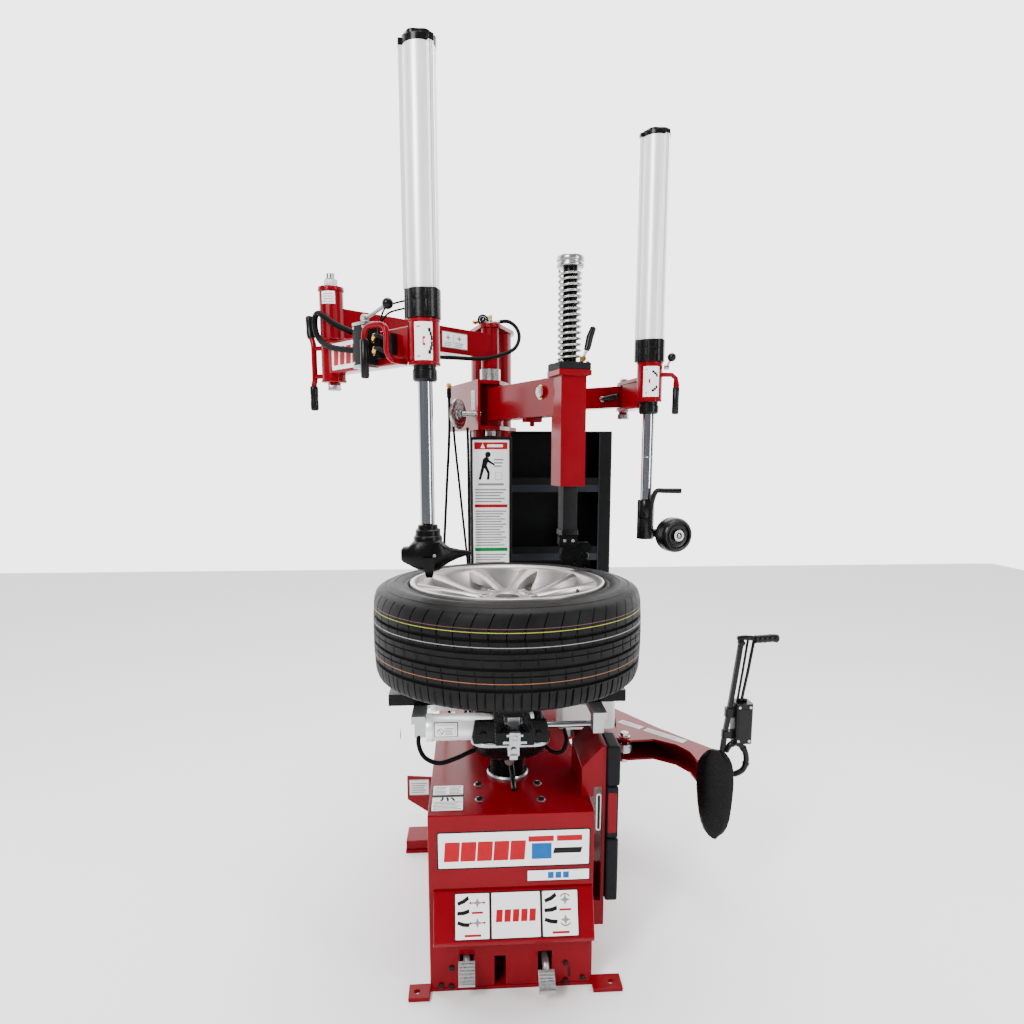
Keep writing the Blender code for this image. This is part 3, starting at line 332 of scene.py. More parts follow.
def bolt(r, at, axis, paint=0, washer=True):
    """Hexagonal head, on a washer unless told otherwise."""
    at, axis = Vector(at), Vector(axis).normalized()
    parts = [hexagon(r, 0.7 * r, at + axis * 0.15 * r, axis, paint)]
    if washer:
        parts.append(rounded_disc(1.35 * r, 0.2 * r, 0.05 * r, at, axis, 24, paint))
    return parts


def smooth_path(points, per_span=8):
    """Catmull-Rom curve through points."""
    pts = [Vector(p) for p in points]
    out = []
    for i in range(len(pts) - 1):
        p0, p1, p2 = pts[max(0, i - 1)], pts[i], pts[i + 1]
        p3 = pts[min(len(pts) - 1, i + 2)]
        for k in range(per_span):
            t = k / per_span
            out.append(0.5 * ((2 * p1) + (p2 - p0) * t + (2 * p0 - 5 * p1 + 4 * p2 - p3) * t * t
                              + (3 * p1 - p0 - 3 * p2 + p3) * t ** 3))
    return out + [pts[-1]]


def sweep(points, radius, n=12, paint=0, rounded=True):
    """Round bar along a path; radius is a number or a function of the share of its length."""
    pts = [Vector(p) for p in points]
    lengths = [0.0]
    for a, b in zip(pts, pts[1:]):
        lengths.append(lengths[-1] + (b - a).length)
    size = radius if callable(radius) else (lambda s: radius)
    side = None
    rings = []
    for i, p in enumerate(pts):
        t = (pts[min(i + 1, len(pts) - 1)] - pts[max(i - 1, 0)]).normalized()
        side = t.orthogonal() if side is None else side - side.dot(t) * t
        side.normalize()
        rings.append((p, t, side.copy(), size(lengths[i] / lengths[-1])))
    if rounded:
        (p, t, s, r), (q, u, v, w) = rings[0], rings[-1]
        rings = [(p - t * r * 0.3, t, s, r * 0.72)] + rings + [(q + u * w * 0.3, u, v, w * 0.72)]
    out, faces = [], []
    for p, t, s, r in rings:
        o = t.cross(s)
        out += [p + r * (math.cos(a) * s + math.sin(a) * o) for a in (2 * math.pi * k / n for k in range(n))]
    for i in range(len(rings) - 1):
        faces += [(i * n + k, i * n + (k + 1) % n, (i + 1) * n + (k + 1) % n,
                   (i + 1) * n + k) for k in range(n)]
    faces += [tuple(reversed(range(n))), tuple(range(len(out) - n, len(out)))]
    return out, faces, paint


def slab(outline, at, x_dir, y_dir, thick, paint=0):
    """Outline in the plane (x_dir, y_dir) through at, thickened along its normal."""
    at, x, y = Vector(at), Vector(x_dir).normalized(), Vector(y_dir).normalized()
    z = x.cross(y)
    n = len(outline)
    points = [at + x * u + y * v for u, v in outline] + [at + x * u + y * v + z * thick for u, v in outline]
    faces = [tuple(reversed(range(n))), tuple(range(n, 2 * n))]
    faces += [(i, (i + 1) % n, n + (i + 1) % n, n + i) for i in range(n)]
    return points, faces, paint


def block(a, b, paint=0):
    """Box between two corners."""
    (x0, y0, z0), (x1, y1, z1) = a, b
    return slab([(x0, y0), (x1, y0), (x1, y1), (x0, y1)], (0, 0, z0), X, Y, z1 - z0, paint)


def round_box(w, h, r, n=5):
    """Outline of a rectangle with rounded corners."""
    out = []
    for cx, cy, a0 in ((w - r, h - r, 0), (r, h - r, 90), (r, r, 180), (w - r, r, 270)):
        out += [(cx + r * math.cos(math.radians(a0 + 90 * k / n)),
                 cy + r * math.sin(math.radians(a0 + 90 * k / n)))
                for k in range(n + 1)]
    return out


def ribbed_circle(r, ribs, n=72, width=0.012, slot=0.0):
    """Circle with square ribs, each with a groove down its middle if slot is set."""
    height = 0.008
    half = math.degrees(math.asin(width / 2 / r))
    rows = [(360 * i / n, r) for i in range(n)
            if all(abs((360 * i / n - b + 180) % 360 - 180) > half + 1.5 for b in ribs)]
    for b in ribs:
        cross = [(-width / 2, r * math.cos(math.radians(half))), (-width / 2, r + height - 0.001),
                 (-width / 2 + 0.001, r + height)]
        if slot:
            cross += [(-slot / 2, r + height), (-slot / 2, r + height - slot)]
        cross += [(-x, y) for x, y in reversed(cross)]
        rows += [((b + math.degrees(math.atan2(x, y))) % 360, math.hypot(x, y)) for x, y in cross]
    rows.sort()
    return [(q * math.cos(math.radians(a)), q * math.sin(math.radians(a))) for a, q in rows]


def ball_profile(r):
    """Half circle to turn into a ball."""
    n = 14
    return [(r * math.sin(math.pi * k / n), -r * math.cos(math.pi * k / n)) for k in range(n + 1)]


def patch_faces(n):
    """Faces of a thin patch made of two rows of n + 1 pairs of points."""
    m, faces = 2 * (n + 1), []
    for i in range(0, 2 * n, 2):
        faces += [(i + 1, i + 3, m + i + 3, m + i + 1), (i, m + i, m + i + 2, i + 2),
                  (i, i + 2, i + 3, i + 1), (m + i, m + i + 1, m + i + 3, m + i + 2)]
    return faces + [(0, 1, m + 1, m), (2 * n, m + 2 * n, m + 2 * n + 1, 2 * n + 1)]


def curved_patch(centre, r, z0, z1, a0, a1, thick=0.0005, paint=0):
    """Thin patch wrapped on a vertical tube between two angles in degrees."""
    n = max(2, int(abs(a1 - a0) / 5))
    points = []
    for z in (z0, z1):
        for k in range(n + 1):
            t = math.radians(a0 + (a1 - a0) * k / n)
            for q in (r - 0.0006, r + thick):
                points.append((centre.x + q * math.cos(t), centre.y + q * math.sin(t), z))
    return points, patch_faces(n), paint


# ---------------------------------------------------------------- labels, with generic marks only
INK_SUNK = 0.0001                             # printed marks start this far inside their plate
INK_RISE = 0.00012                            # and stand this far out of it
COUNTER_RISE = 0.0003                         # white counters stand out of the marks that they lie on


class Label:
    """Thin plate on a surface with flat printed marks. (u, v) run right and up from its corner."""

    def __init__(self, name, body, corner, right, up, width, height, mats=("white",), radius=0.003,
                 lift=0.0005, frame_ink=None, edge=0.0022):
        self.name, self.body, self.mats = name, body, list(mats)
        self.right, self.up = Vector(right).normalized(), Vector(up).normalized()
        self.out = self.right.cross(self.up)
        self.corner = Vector(corner)
        self.lift = lift
        self.parts = []
        plate = round_box(width, height, radius)
        if frame_ink:
            self.parts.append(slab(plate, self.corner, self.right, self.up, lift * 0.8, self.ink(frame_ink)))
            plate = [(u + edge, v + edge) for u, v in round_box(width - 2 * edge, height - 2 * edge,
                                                                radius * 0.7)]
        self.parts.append(slab(plate, self.corner, self.right, self.up, lift, 0))

    def ink(self, key):
        if key not in self.mats:
            self.mats.append(key)
        return self.mats.index(key)

    def shape(self, outline, key="ink", rise=INK_RISE):
        at = self.corner + self.out * (self.lift - INK_SUNK)
        self.parts.append(slab(outline, at, self.right, self.up, INK_SUNK + rise, self.ink(key)))

    def bar(self, u, v, w, h, key="ink", rise=INK_RISE):
        self.shape([(u, v), (u + w, v), (u + w, v + h), (u, v + h)], key, rise)

    def lines(self, u, v, w, h, rows, key="grey_ink", ragged=0.25):
        """Stands for small print: rows of short bars, no lettering."""
        step = h / rows
        for k in range(rows):
            length = w * (1 - ragged * ((k * 7) % 5) / 5)
            self.bar(u, v + h - (k + 0.8) * step, length, step * 0.45, key)

    def lever(self, u, v, size, angle, key="ink"):
        """Pictogram of a lever: a bent bar with a round end."""
        c, s = math.cos(math.radians(angle)), math.sin(math.radians(angle))
        raw = [(-0.5, -0.15), (0.05, -0.17), (0.5, -0.06), (0.5, 0.24), (0.02, 0.13), (-0.5, 0.12)]
        self.shape([(u + size * (x * c - y * s), v + size * (x * s + y * c)) for x, y in raw], key)

    def star(self, u, v, size, key="grey_ink"):
        """Pictogram of the four-armed table."""
        raw = []
        for k in range(8):
            a = math.radians(45 * k)
            r = size * (0.5 if k % 2 == 0 else 0.2)
            raw.append((u + r * math.cos(a), v + r * math.sin(a)))
        self.shape(raw, key)

    def arrow(self, u, v, size, way, key="red_ink"):
        """Straight arrow to the right (way 1) or to the left (way -1)."""
        raw = [(-0.5, -0.12), (0.05, -0.12), (0.05, -0.35), (0.5, 0), (0.05, 0.35), (0.05, 0.12),
               (-0.5, 0.12)]
        self.shape([(u + size * x * way, v + size * y) for x, y in raw][::way], key)

    def arc(self, u, v, size, way, key="red_ink"):
        """Curved arrow over (way 1) or under (way -1) a point."""
        rows = [(size * math.cos(math.radians(30 + 12 * k)), way * size * math.sin(math.radians(30 + 12 * k)))
                for k in range(11)]
        outer = [(u + x, v + y) for x, y in rows]
        inner = [(u + 0.82 * x, v + 0.82 * y) for x, y in reversed(rows)]
        self.shape((outer + inner)[::way], key)

    def build(self):
        piece(self.name, self.parts, self.mats, self.body, smooth=20, slot="white_plastic")


def label_on_tube(name, body, centre, r, z0, z1, a0, a1):
    """White label wrapped on an upright tube."""
    piece(name, [curved_patch(centre, r, z0, z1, a0, a1)], "white", body, smooth=60, slot="white_plastic")


def marks_on_tube(name, body, centre, r, marks):
    """Marks wrapped on an upright tube: (angle, height, angle spanned, tallness, ink) each."""
    mats, parts = [], []
    for angle, z, span, tall, key in marks:
        if key not in mats:
            mats.append(key)
        parts.append(curved_patch(centre, r, z - tall / 2, z + tall / 2, angle - span / 2, angle + span / 2,
                                  0.0003, mats.index(key)))
    piece(name, parts, mats, body, smooth=60, slot="white_plastic")


# ---------------------------------------------------------------- finishes of the frame's own pieces
SLOT_LOOK = {"red_paint": "red", "black_paint": "black", "cast_black": "cast", "chrome_rod": "chrome",
             "steel": "steel", "tube_aluminium": "tube", "rim_aluminium": "alloy", "rubber_pad": "rubber",
             "tyre_rubber": "tyre", "black_plastic": "plastic", "white_plastic": "pale"}
# nodes whose look differs from their slot's
LOOKS = {"gearmotor": "cast", "table_plate": "cast", "breaker_shoe": "cast", "side_placard": "red",
         "lube_bucket": "pale", "pivot_pin": "zinc", "lock_plate": "black"}
# widths of the rounded edges
SOFT = {"cabinet_shell": 0.003, "base_frame": 0.0015, "column": 0.003, "arm_bracket": 0.0015,
        "storage_cabinet": 0.0015, "swing_arm": 0.0022, "left_inner_arm": 0.0022, "left_outer_arm": 0.0012,
        "right_inner_arm": 0.002, "right_outer_arm": 0.0012, "breaker_arm": 0.0012, "breaker_shoe": 0.0022,
        "breaker_bracket": 0.0015, "turntable_hub": 0.002, "table_plate": 0.0025, "jaw_left": 0.0022,
        "jaw_right": 0.0022, "jaw_front": 0.0022, "jaw_rear": 0.0022, "control_panel": 0.002,
        "lock_plate": 0.002, "side_wall_plate": 0.0015, "pad_top": 0.005, "pad_mid": 0.004,
        "pad_bottom": 0.005, "side_placard": 0.0006, "mast": 0.001, "pivot_pin": 0.001, "lube_bucket": 0.001,
        "air_regulator": 0.001, "roller_bracket": 0.001}
for node, obj in frame["nodes"].items():
    dress(obj, LOOKS.get(node) or SLOT_LOOK[SLOT_OF[node]], SOFT.get(node, 0))


# ---------------------------------------------------------------- tyre
def tyre():
    a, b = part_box("tyre")
    z_mid, half, R = (a.z + b.z) / 2, (b.z - a.z) / 2, b.x
    bead = high("rim").x
    grooves = ((0.05, 0.0036, 0.0075), (0.0245, 0.004, 0.0065), (0.0085, 0.0014, 0.003),
               (-0.012, 0.0036, 0.0065), (-0.0275, 0.0014, 0.003), (-0.058, 0.0045, 0.007))
    edges = {-0.088, -0.0965, 0.088, 0.0965, 0.06, 0.07, 0.078, 0.0375, 0.0165, -0.002, -0.02, -0.035, -0.05,
             -0.068, -0.078}
    for centre, w, _ in grooves:
        edges |= {centre - w - 0.0004, centre - w + 0.0008, centre + w - 0.0008, centre + w + 0.0004}

    def crown(z):
        return R - 0.0012 * (z / 0.05) ** 2 - max(0, abs(z) - 0.085) * 0.22

    rows = [(crown(z) - sum(depth for centre, w, depth in grooves if abs(z - centre) < w),
             z) for z in sorted(edges)]
    side = [(R - 0.009, 0.1015), (R - 0.0135, 0.106), (R - 0.02, 0.1098), (R - 0.029, 0.113),
            (R - 0.0296, 0.1142), (R - 0.031, 0.1144), (R - 0.0316, 0.1136), (R - 0.04, 0.116),
            (R - 0.049, half - 0.0002), (R - 0.053, half), (R - 0.0536, half - 0.0008),
            (R - 0.064, half - 0.0014), (R - 0.074, half - 0.0034), (bead + 0.013, 0.1135),
            (bead + 0.011, 0.1146), (bead + 0.0062, 0.1142), (bead + 0.004, 0.112), (bead + 0.0002, 0.107)]
    outer = [(r, -z) for r, z in reversed(side)] + rows + side
    inner = [(bead - 0.006, 0.1), (R - 0.03, 0.098), (R - 0.018, 0.07), (R - 0.018, -0.07),
             (R - 0.03, -0.098), (bead - 0.006, -0.1)]
    # each tread pitch has its own sipes: (share of the pitch, kind)
    pitches = 54
    step = 2 * math.pi / pitches
    local = ((0.0, 0), (0.022, 0), (0.04, 1), (0.2, 1), (0.34, 1), (0.48, 2), (0.5, 2), (0.52, 1), (0.66, 1),
             (0.8, 1), (0.96, 1), (0.98, 0))
    cols = [(k * step + share * step, kind) for k in range(pitches) for share, kind in local]
    cuts = ((0.052, 0.103, 0, 0.0045), (0.027, 0.0468, 0, 0.003), (0.01, 0.019, 2, 0.0018),
            (-0.006, 0.007, 2, 0.0018), (-0.026, -0.017, 0, 0.0018), (-0.054, -0.03, 0, 0.0025),
            (-0.103, -0.064, 0, 0.0045), (-0.103, -0.064, 2, 0.0045))

    def lean(z):
        """Sideways run of the sipes across the tread."""
        if z > 0.045:
            return 0.03 * max(0, (z - 0.068) / 0.03) ** 1.5
        if z > 0.02:
            return (0.045 - z) * 0.9
        return 0.0225 + (0.02 - z) * 0.25 if z > -0.058 else 0.042

    points, faces = [], []
    profile = outer + inner
    n = len(cols)
    for i, (r, z) in enumerate(profile):
        on_tread = len(side) - 3 <= i < len(outer) - len(side) + 3
        shift = lean(z if on_tread else math.copysign(0.1, z))
        for angle, kind in cols:
            q = r - (max([deep for low_z, high_z, k, deep in cuts if k == kind and low_z < z < high_z],
                         default=0)
                     if on_tread else 0)
            points.append((q * math.cos(angle + shift), q * math.sin(angle + shift), z_mid + z))
    for i in range(len(profile)):
        j = (i + 1) % len(profile)
        faces += [(i * n + c, i * n + (c + 1) % n, j * n + (c + 1) % n, j * n + c) for c in range(n)]
    parts = [(points, faces, 0)]
    for z, width, ink in ((0.0745, 0.0013, 1), (0.0665, 0.0014, 2), (0.035, 0.0015, 3), (-0.043, 0.0015, 4)):
        r = crown(z) + 0.0003
        line = [(r - 0.0015, z_mid + z - width / 2), (r, z_mid + z - width / 2), (r, z_mid + z + width / 2),
                (r - 0.0015, z_mid + z + width / 2)]
        parts.append(closed_turned(line, (0, 0, 0), n=160, paint=ink))
    stand_in("tyre", "tyre_tread", parts, ["tyre", "line_brown", "line_yellow", "line_white", "line_orange"],
             smooth=28)


def rim():
    a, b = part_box("rim")
    z0, z1, R = a.z, b.z, b.x
    hub = 0.08
    barrel = shifted((R, z0), (-0.022, 0.004), (-0.004, 0), (-0.0008, 0.0015), (0, 0.006), (-0.001, 0.0108),
                     (-0.008, 0.0115), (-0.0155, 0.0105), (-0.0155, 0.048), (-0.03, 0.062),
                     (-0.038, 0.072)) + shifted((R, z1), (-0.038, -0.075), (-0.03, -0.062), (-0.0155, -0.052),
                                                (-0.0155, -0.0098), (-0.008, -0.0104), (-0.001, -0.0108),
                                                (0, -0.006), (-0.0008, -0.0015), (-0.004, 0),
                                                (-0.008, -0.0006), (-0.0125, -0.003), (-0.0185, -0.009),
                                                (-0.0205, -0.016), (-0.024, -0.03), (-0.036, -0.052),
                                                (-0.045, -0.07)) + shifted((R, z0), (-0.045, 0.07),
                                                                           (-0.034, 0.052), (-0.024, 0.03))
    parts = [closed_turned(barrel, (0, 0, 0), n=120)]
    face = [(0.0315, z1 - 0.087), (hub, z1 - 0.087), (hub + 0.008, z1 - 0.07), (hub + 0.006, z1 - 0.05),
            (hub - 0.004, z1 - 0.0405), (0.052, z1 - 0.0375), (0.046, z1 - 0.0385), (0.043, z1 - 0.0425),
            (0.0325, z1 - 0.043), (0.0315, z1 - 0.044)]
    parts.append(closed_turned(face, (0, 0, 0), n=72))
    for k in range(5):
        for s in (-1, 1):
            a0, a1 = math.radians(90 + 72 * k + s * 8), math.radians(90 + 72 * k + s * 19)
            rings = []
            for t in (0.0, 0.15, 0.35, 0.6, 0.8, 0.93, 1.0):
                r = 0.062 + (R - 0.015 - 0.062) * t
                ang = a0 + (a1 - a0) * t ** 0.9
                w = 0.0185 - 0.005 * math.sin(math.pi * min(1, t * 1.15)) + 0.01 * max(0, t - 0.75) / 0.25
                top = z1 - 0.04 + 0.032 * t ** 1.25
                deep = 0.034 - 0.01 * math.sin(math.pi * t)
                c, q = math.cos(ang), math.sin(ang)
                section = [(-w, top - deep), (-w * 1.05, top - 0.014), (-w * 0.95, top - 0.005),
                           (-w * 0.6, top - 0.0008), (0, top), (w * 0.6, top - 0.0008),
                           (w * 0.95, top - 0.005), (w * 1.05, top - 0.014), (w, top - deep)]
                rings.append([(r * c - u * q, r * q + u * c, z) for u, z in section])
            parts.append(lofted(rings))
        ang = math.radians(90 + 36 + 72 * k)
        seat = Vector((0.062 * math.cos(ang), 0.062 * math.sin(ang), z1 - 0.0395))
        parts.append(closed_turned([(0.008, -0.002), (0.0125, -0.002), (0.0125, 0.003), (0.011, 0.004),
                                    (0.008, 0.004)],
                                   seat, n=20))
        # black disc filling the bolt hole: painted shade in place of the opening
        parts.append(turned([(0, 0), (0.0078, 0), (0.0078, 0.001), (0, 0.001)], seat, n=16, paint=1))
    ang = math.radians(-38)
    stem = Vector((math.cos(ang), math.sin(ang), 0))
    foot = stem * (R - 0.026) + Vector((0, 0, z1 - 0.034))
    parts.append(sweep([foot, foot - stem * 0.01 + UP * 0.014, foot - stem * 0.016 + UP * 0.03],
                       lambda s: 0.0052 - 0.0016 * s, paint=1))
    stand_in("rim", "rim_cast", parts, ["alloy", "plastic"], smooth=40)


tyre()
rim()


# ---------------------------------------------------------------- clamp cylinders
def clamping():
    for name in ("front", "rear"):
        a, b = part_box("clamp_barrel_" + name)
        y, z, r = (a.y + b.y) / 2, (a.z + b.z) / 2, (b.z - a.z) / 2
        at = Vector((a.x, y, z))
        full = b.x - a.x
        prof = [(0, 0), (r - 0.003, 0), (r - 0.001, 0.0008), (r, 0.003), (r, 0.016), (r - 0.0015, 0.0172),
                (r - 0.0015, full - 0.018), (r, full - 0.0168), (r, full - 0.003), (r - 0.001, full - 0.0008),
                (r - 0.003, full), (0.0125, full), (0.0115, full - 0.002), (0.009, full - 0.002),
                (0.0085, full - 0.006), (0, full - 0.006)]
        parts = [turned(prof, at, X, 56)]
        for k in range(4):
            ang = math.radians(45 + 90 * k)
            p = at + Vector((full, (r - 0.008) * math.cos(ang), (r - 0.008) * math.sin(ang)))
            parts.append(rounded_disc(0.0034, 0.0012, 0.0004, p - X * 0.001, X, 12, 1))
        stand_in("clamp_barrel_" + name, "clamp_cylinder_" + name, parts, ["tube", "zinc"], smooth=35)
        p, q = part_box("clamp_rod_" + name)
        pr = 0.008
        prof = [(0, 0), (0.029, 0), (0.029, 0.012), (pr, 0.012), (pr, q.x - p.x - 0.002),
                (pr - 0.001, q.x - p.x), (0, q.x - p.x)]
        stand_in("clamp_rod_" + name, "clamp_shaft_" + name, [turned(prof, (p.x, y, z), X, 32)], "chrome")
    # label on the front cylinder: a white wrap with a black edge
    a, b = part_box("clamp_barrel_front")
    y, z, r = (a.y + b.y) / 2, (a.z + b.z) / 2, (b.z - a.z) / 2
    x0, x1 = a.x + 0.02, a.x + 0.078
    parts = []
    for ink, grow, inset in ((1, -0.00135, 0.0), (0, -0.00125, 0.0022)):
        points, n = [], 12
        lo_a, hi_a = math.radians(-24) + inset / r, math.radians(42) - inset / r
        for x in (x0 + inset, x1 - inset):
            for k in range(n + 1):
                t = lo_a + (hi_a - lo_a) * k / n
                for q in (r - 0.0018, r + grow):
                    points.append((x, y - q * math.cos(t), z + q * math.sin(t)))
        parts.append((points, patch_faces(n), ink))
    piece("clamp_label", parts, ["white", "ink"], "clamp_left", smooth=40, slot="white_plastic")
    mark = Label("clamp_label_mark", "clamp_left", (x0 + 0.006, y - r + 0.0004, z - 0.01), X, UP, 0.044,
                 0.026, radius=0.001)
    for k in range(12):
        a0, a1 = math.radians(30 * k), math.radians(30 * k + 30)
        mark.shape([(0.01 + q * math.cos(w), 0.012 + q * math.sin(w)) for q,
                    w in ((0.0066, a0), (0.008, a0), (0.008, a1), (0.0066, a1))],
                   "ink")
    mark.shape([(0.005, 0.016), (0.0062, 0.0172), (0.015, 0.008), (0.0138, 0.0068)], "ink")
    mark.lines(0.02, 0.003, 0.022, 0.019, 5, "grey_ink")
    mark.build()


clamping()


# ---------------------------------------------------------------- swing arm, tool bar, spring and mount head
def swinging():
    bar_lo, bar_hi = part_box("tool_bar")
    c = POST.copy()
    plate_top = high("lock_plate").z
    turn = Matrix.Rotation(POST_TURN, 3, "Z")
    post_x, post_y = turn @ X, turn @ Y

    def square(size, z0, z1, paint=0, r=0.002):
        s = size / 2
        outline = [(u - s, v - s) for u, v in round_box(size, size, r, 3)]
        return slab(outline, (c.x, c.y, z0), post_x, post_y, z1 - z0, paint)

    cap0 = bar_hi.z - 0.0265
    top = [(0, plate_top - 0.012), (0.0188, plate_top - 0.012), (0.0188, cap0), (0, cap0)]
    cap = shifted((0, cap0), (0, 0), (0.0335, 0), (0.035, 0.001), (0.0355, 0.0045), (0.035, 0.0075),
                  (0.0325, 0.0085), (0.0318, 0.011), (0.0325, 0.0135), (0.035, 0.0145), (0.0358, 0.018),
                  (0.0355, 0.0235)) + shifted((0, bar_hi.z), (0.0335, 0), (0.01, 0), (0.009, -0.002),
                                              (0, -0.002))
    parts = [square(0.04, bar_lo.z, plate_top - 0.012, 0),
             square(0.0462, bar_lo.z + 0.0006, bar_lo.z + 0.0156, 1, 0.004),
             turned(top, (c.x, c.y, 0), n=40, paint=1), turned(cap, (c.x, c.y, 0), n=56, paint=2)]
    stand_in("tool_bar", "tool_shaft", parts, ["black", "cast", "zinc"], bevel=0.0006)

    a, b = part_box("spring")
    turns, wire, mean = 15.5, 0.0034, 0.028
    path = []
    low_z, high_z = a.z + wire, b.z - wire
    for k in range(int(turns * 24) + 1):
        s = k / (turns * 24)
        ease = min(1, s * 12) * min(1, (1 - s) * 12)
        ang = 2 * math.pi * k / 24
        path.append((c.x + mean * math.cos(ang), c.y + mean * math.sin(ang),
                     low_z + (high_z - low_z) * s * (0.98 + 0.02 * ease)))
    spring = piece("return_spring", [sweep(path, wire, 8, rounded=False)], "zinc", None, smooth=60,
                   replaces="spring")
    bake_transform(spring)

    # lock lever: brass nut, steel stem and dipped grip
    a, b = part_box("lock_lever")
    foot = joint_at("bar_lock_lever")
    tip = Vector((b.x - 0.006, b.y - 0.007, b.z - 0.008))
    run = tip - foot
    parts = [turned([(0, -0.009), (0.0065, -0.009), (0.0075, -0.008), (0.0075, 0.008), (0.0065, 0.009),
                     (0, 0.009)], foot,
                    (0, 1, 0), 18, 0),
             sweep([foot, foot + run * 0.24 + post_x * 0.002, foot + run * 0.42 + post_x * 0.002], 0.004,
                   paint=1),
             sweep([foot + run * 0.3 + post_x * 0.002, foot + run * 0.42 + post_x * 0.002,
                    foot + run * 0.7 - post_x * 0.001, tip],
                   lambda s: 0.0078 + 0.0018 * math.sin(math.pi * min(1, s * 1.1)), 18, 2)]
    stand_in("lock_lever", "lock_handle", parts, ["brass", "zinc", "grip"])

    # silver bolt head with a brass ring on the arm's side, the four flange bolts and a rubber nub
    parts = []
    out = Vector((-(c - PIVOT).y, (c - PIVOT).x, 0)).normalized() * -1
    along = (c - PIVOT).normalized()
    head = PIVOT + along * ((c - PIVOT).length * 0.8) + UP * 1.444
    parts.append(closed_turned([(0.0165, 0.0), (0.0195, 0.0), (0.0195, 0.0035), (0.0165, 0.0035)],
                               head + out * 0.03, out, 32, 1))
    parts.append(rounded_disc(0.016, 0.01, 0.003, head + out * 0.03, out, 32, 0))
    parts.append(rounded_disc(0.0065, 0.0015, 0.0005, head + out * 0.0396, out, 6, 0))
    piece("swing_bolt", parts, ["zinc", "brass"], "swing")
    parts = []
    for u, v in ((0.037, -0.037), (-0.037, -0.037), (0.037, 0.037), (-0.037, 0.037)):
        p = c + post_x * u + post_y * v + UP * plate_top
        parts += [hexagon(0.005, 0.0035, p, UP, 0)]
    piece("flange_bolts", parts, "zinc", "swing")
    nub = PIVOT + along * 0.33 + UP * (SWING_TOP - 0.0005)
    piece("swing_nub", [rounded_disc(0.0055, 0.006, 0.002, nub, UP, 16)], "plastic", "swing",
          slot="black_plastic")

    # mounting head: clamp block, hooked duck bill, two bolts and a finger roller
    a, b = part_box("mount_head")

    def section(x0, x1, half, z, nose=0.7):
        return [(c.x + x0, c.y - half, z), (c.x + x1, c.y - half * nose, z), (c.x + x1, c.y + half * nose, z),
                (c.x + x0, c.y + half, z)]

    z1 = b.z
    bill = [section(-0.014, 0.026, 0.02, z1 - 0.03), section(-0.018, 0.034, 0.023, z1 - 0.044, 0.8),
            section(-0.022, 0.046, 0.023, z1 - 0.058, 0.8), section(-0.014, 0.06, 0.02, z1 - 0.072, 0.7),
            section(0.006, 0.0665, 0.015, z1 - 0.082, 0.7), section(0.032, 0.0675, 0.01, a.z + 0.0005, 0.8)]
    clamp = [section(-0.0235, 0.0245, 0.0235, z1 - 0.0002, 1), section(-0.0245, 0.0255, 0.024, z1 - 0.026, 1),
             section(-0.018, 0.022, 0.02, z1 - 0.034, 1)]
    hook = [section(0.02, 0.058, 0.008, z1 - 0.02, 0.8), section(0.022, 0.067, 0.009, z1 - 0.032, 0.8),
            section(0.024, 0.062, 0.009, z1 - 0.046, 0.8)]
    parts = [lofted(clamp), lofted(bill), lofted(hook)]
    for x in (-0.01, 0.012):
        parts += bolt(0.0048, (c.x + x, c.y - 0.0236, z1 - 0.013), TO_FRONT, 1, False)
    parts.append(rounded_disc(0.0085, 0.018, 0.003, (c.x + 0.05, c.y - 0.009, z1 - 0.056), (0, 1, 0), 24, 0))
    stand_in("mount_head", "duck_head", parts, ["cast", "zinc"], bevel=0.0016, levels=3)


swinging()


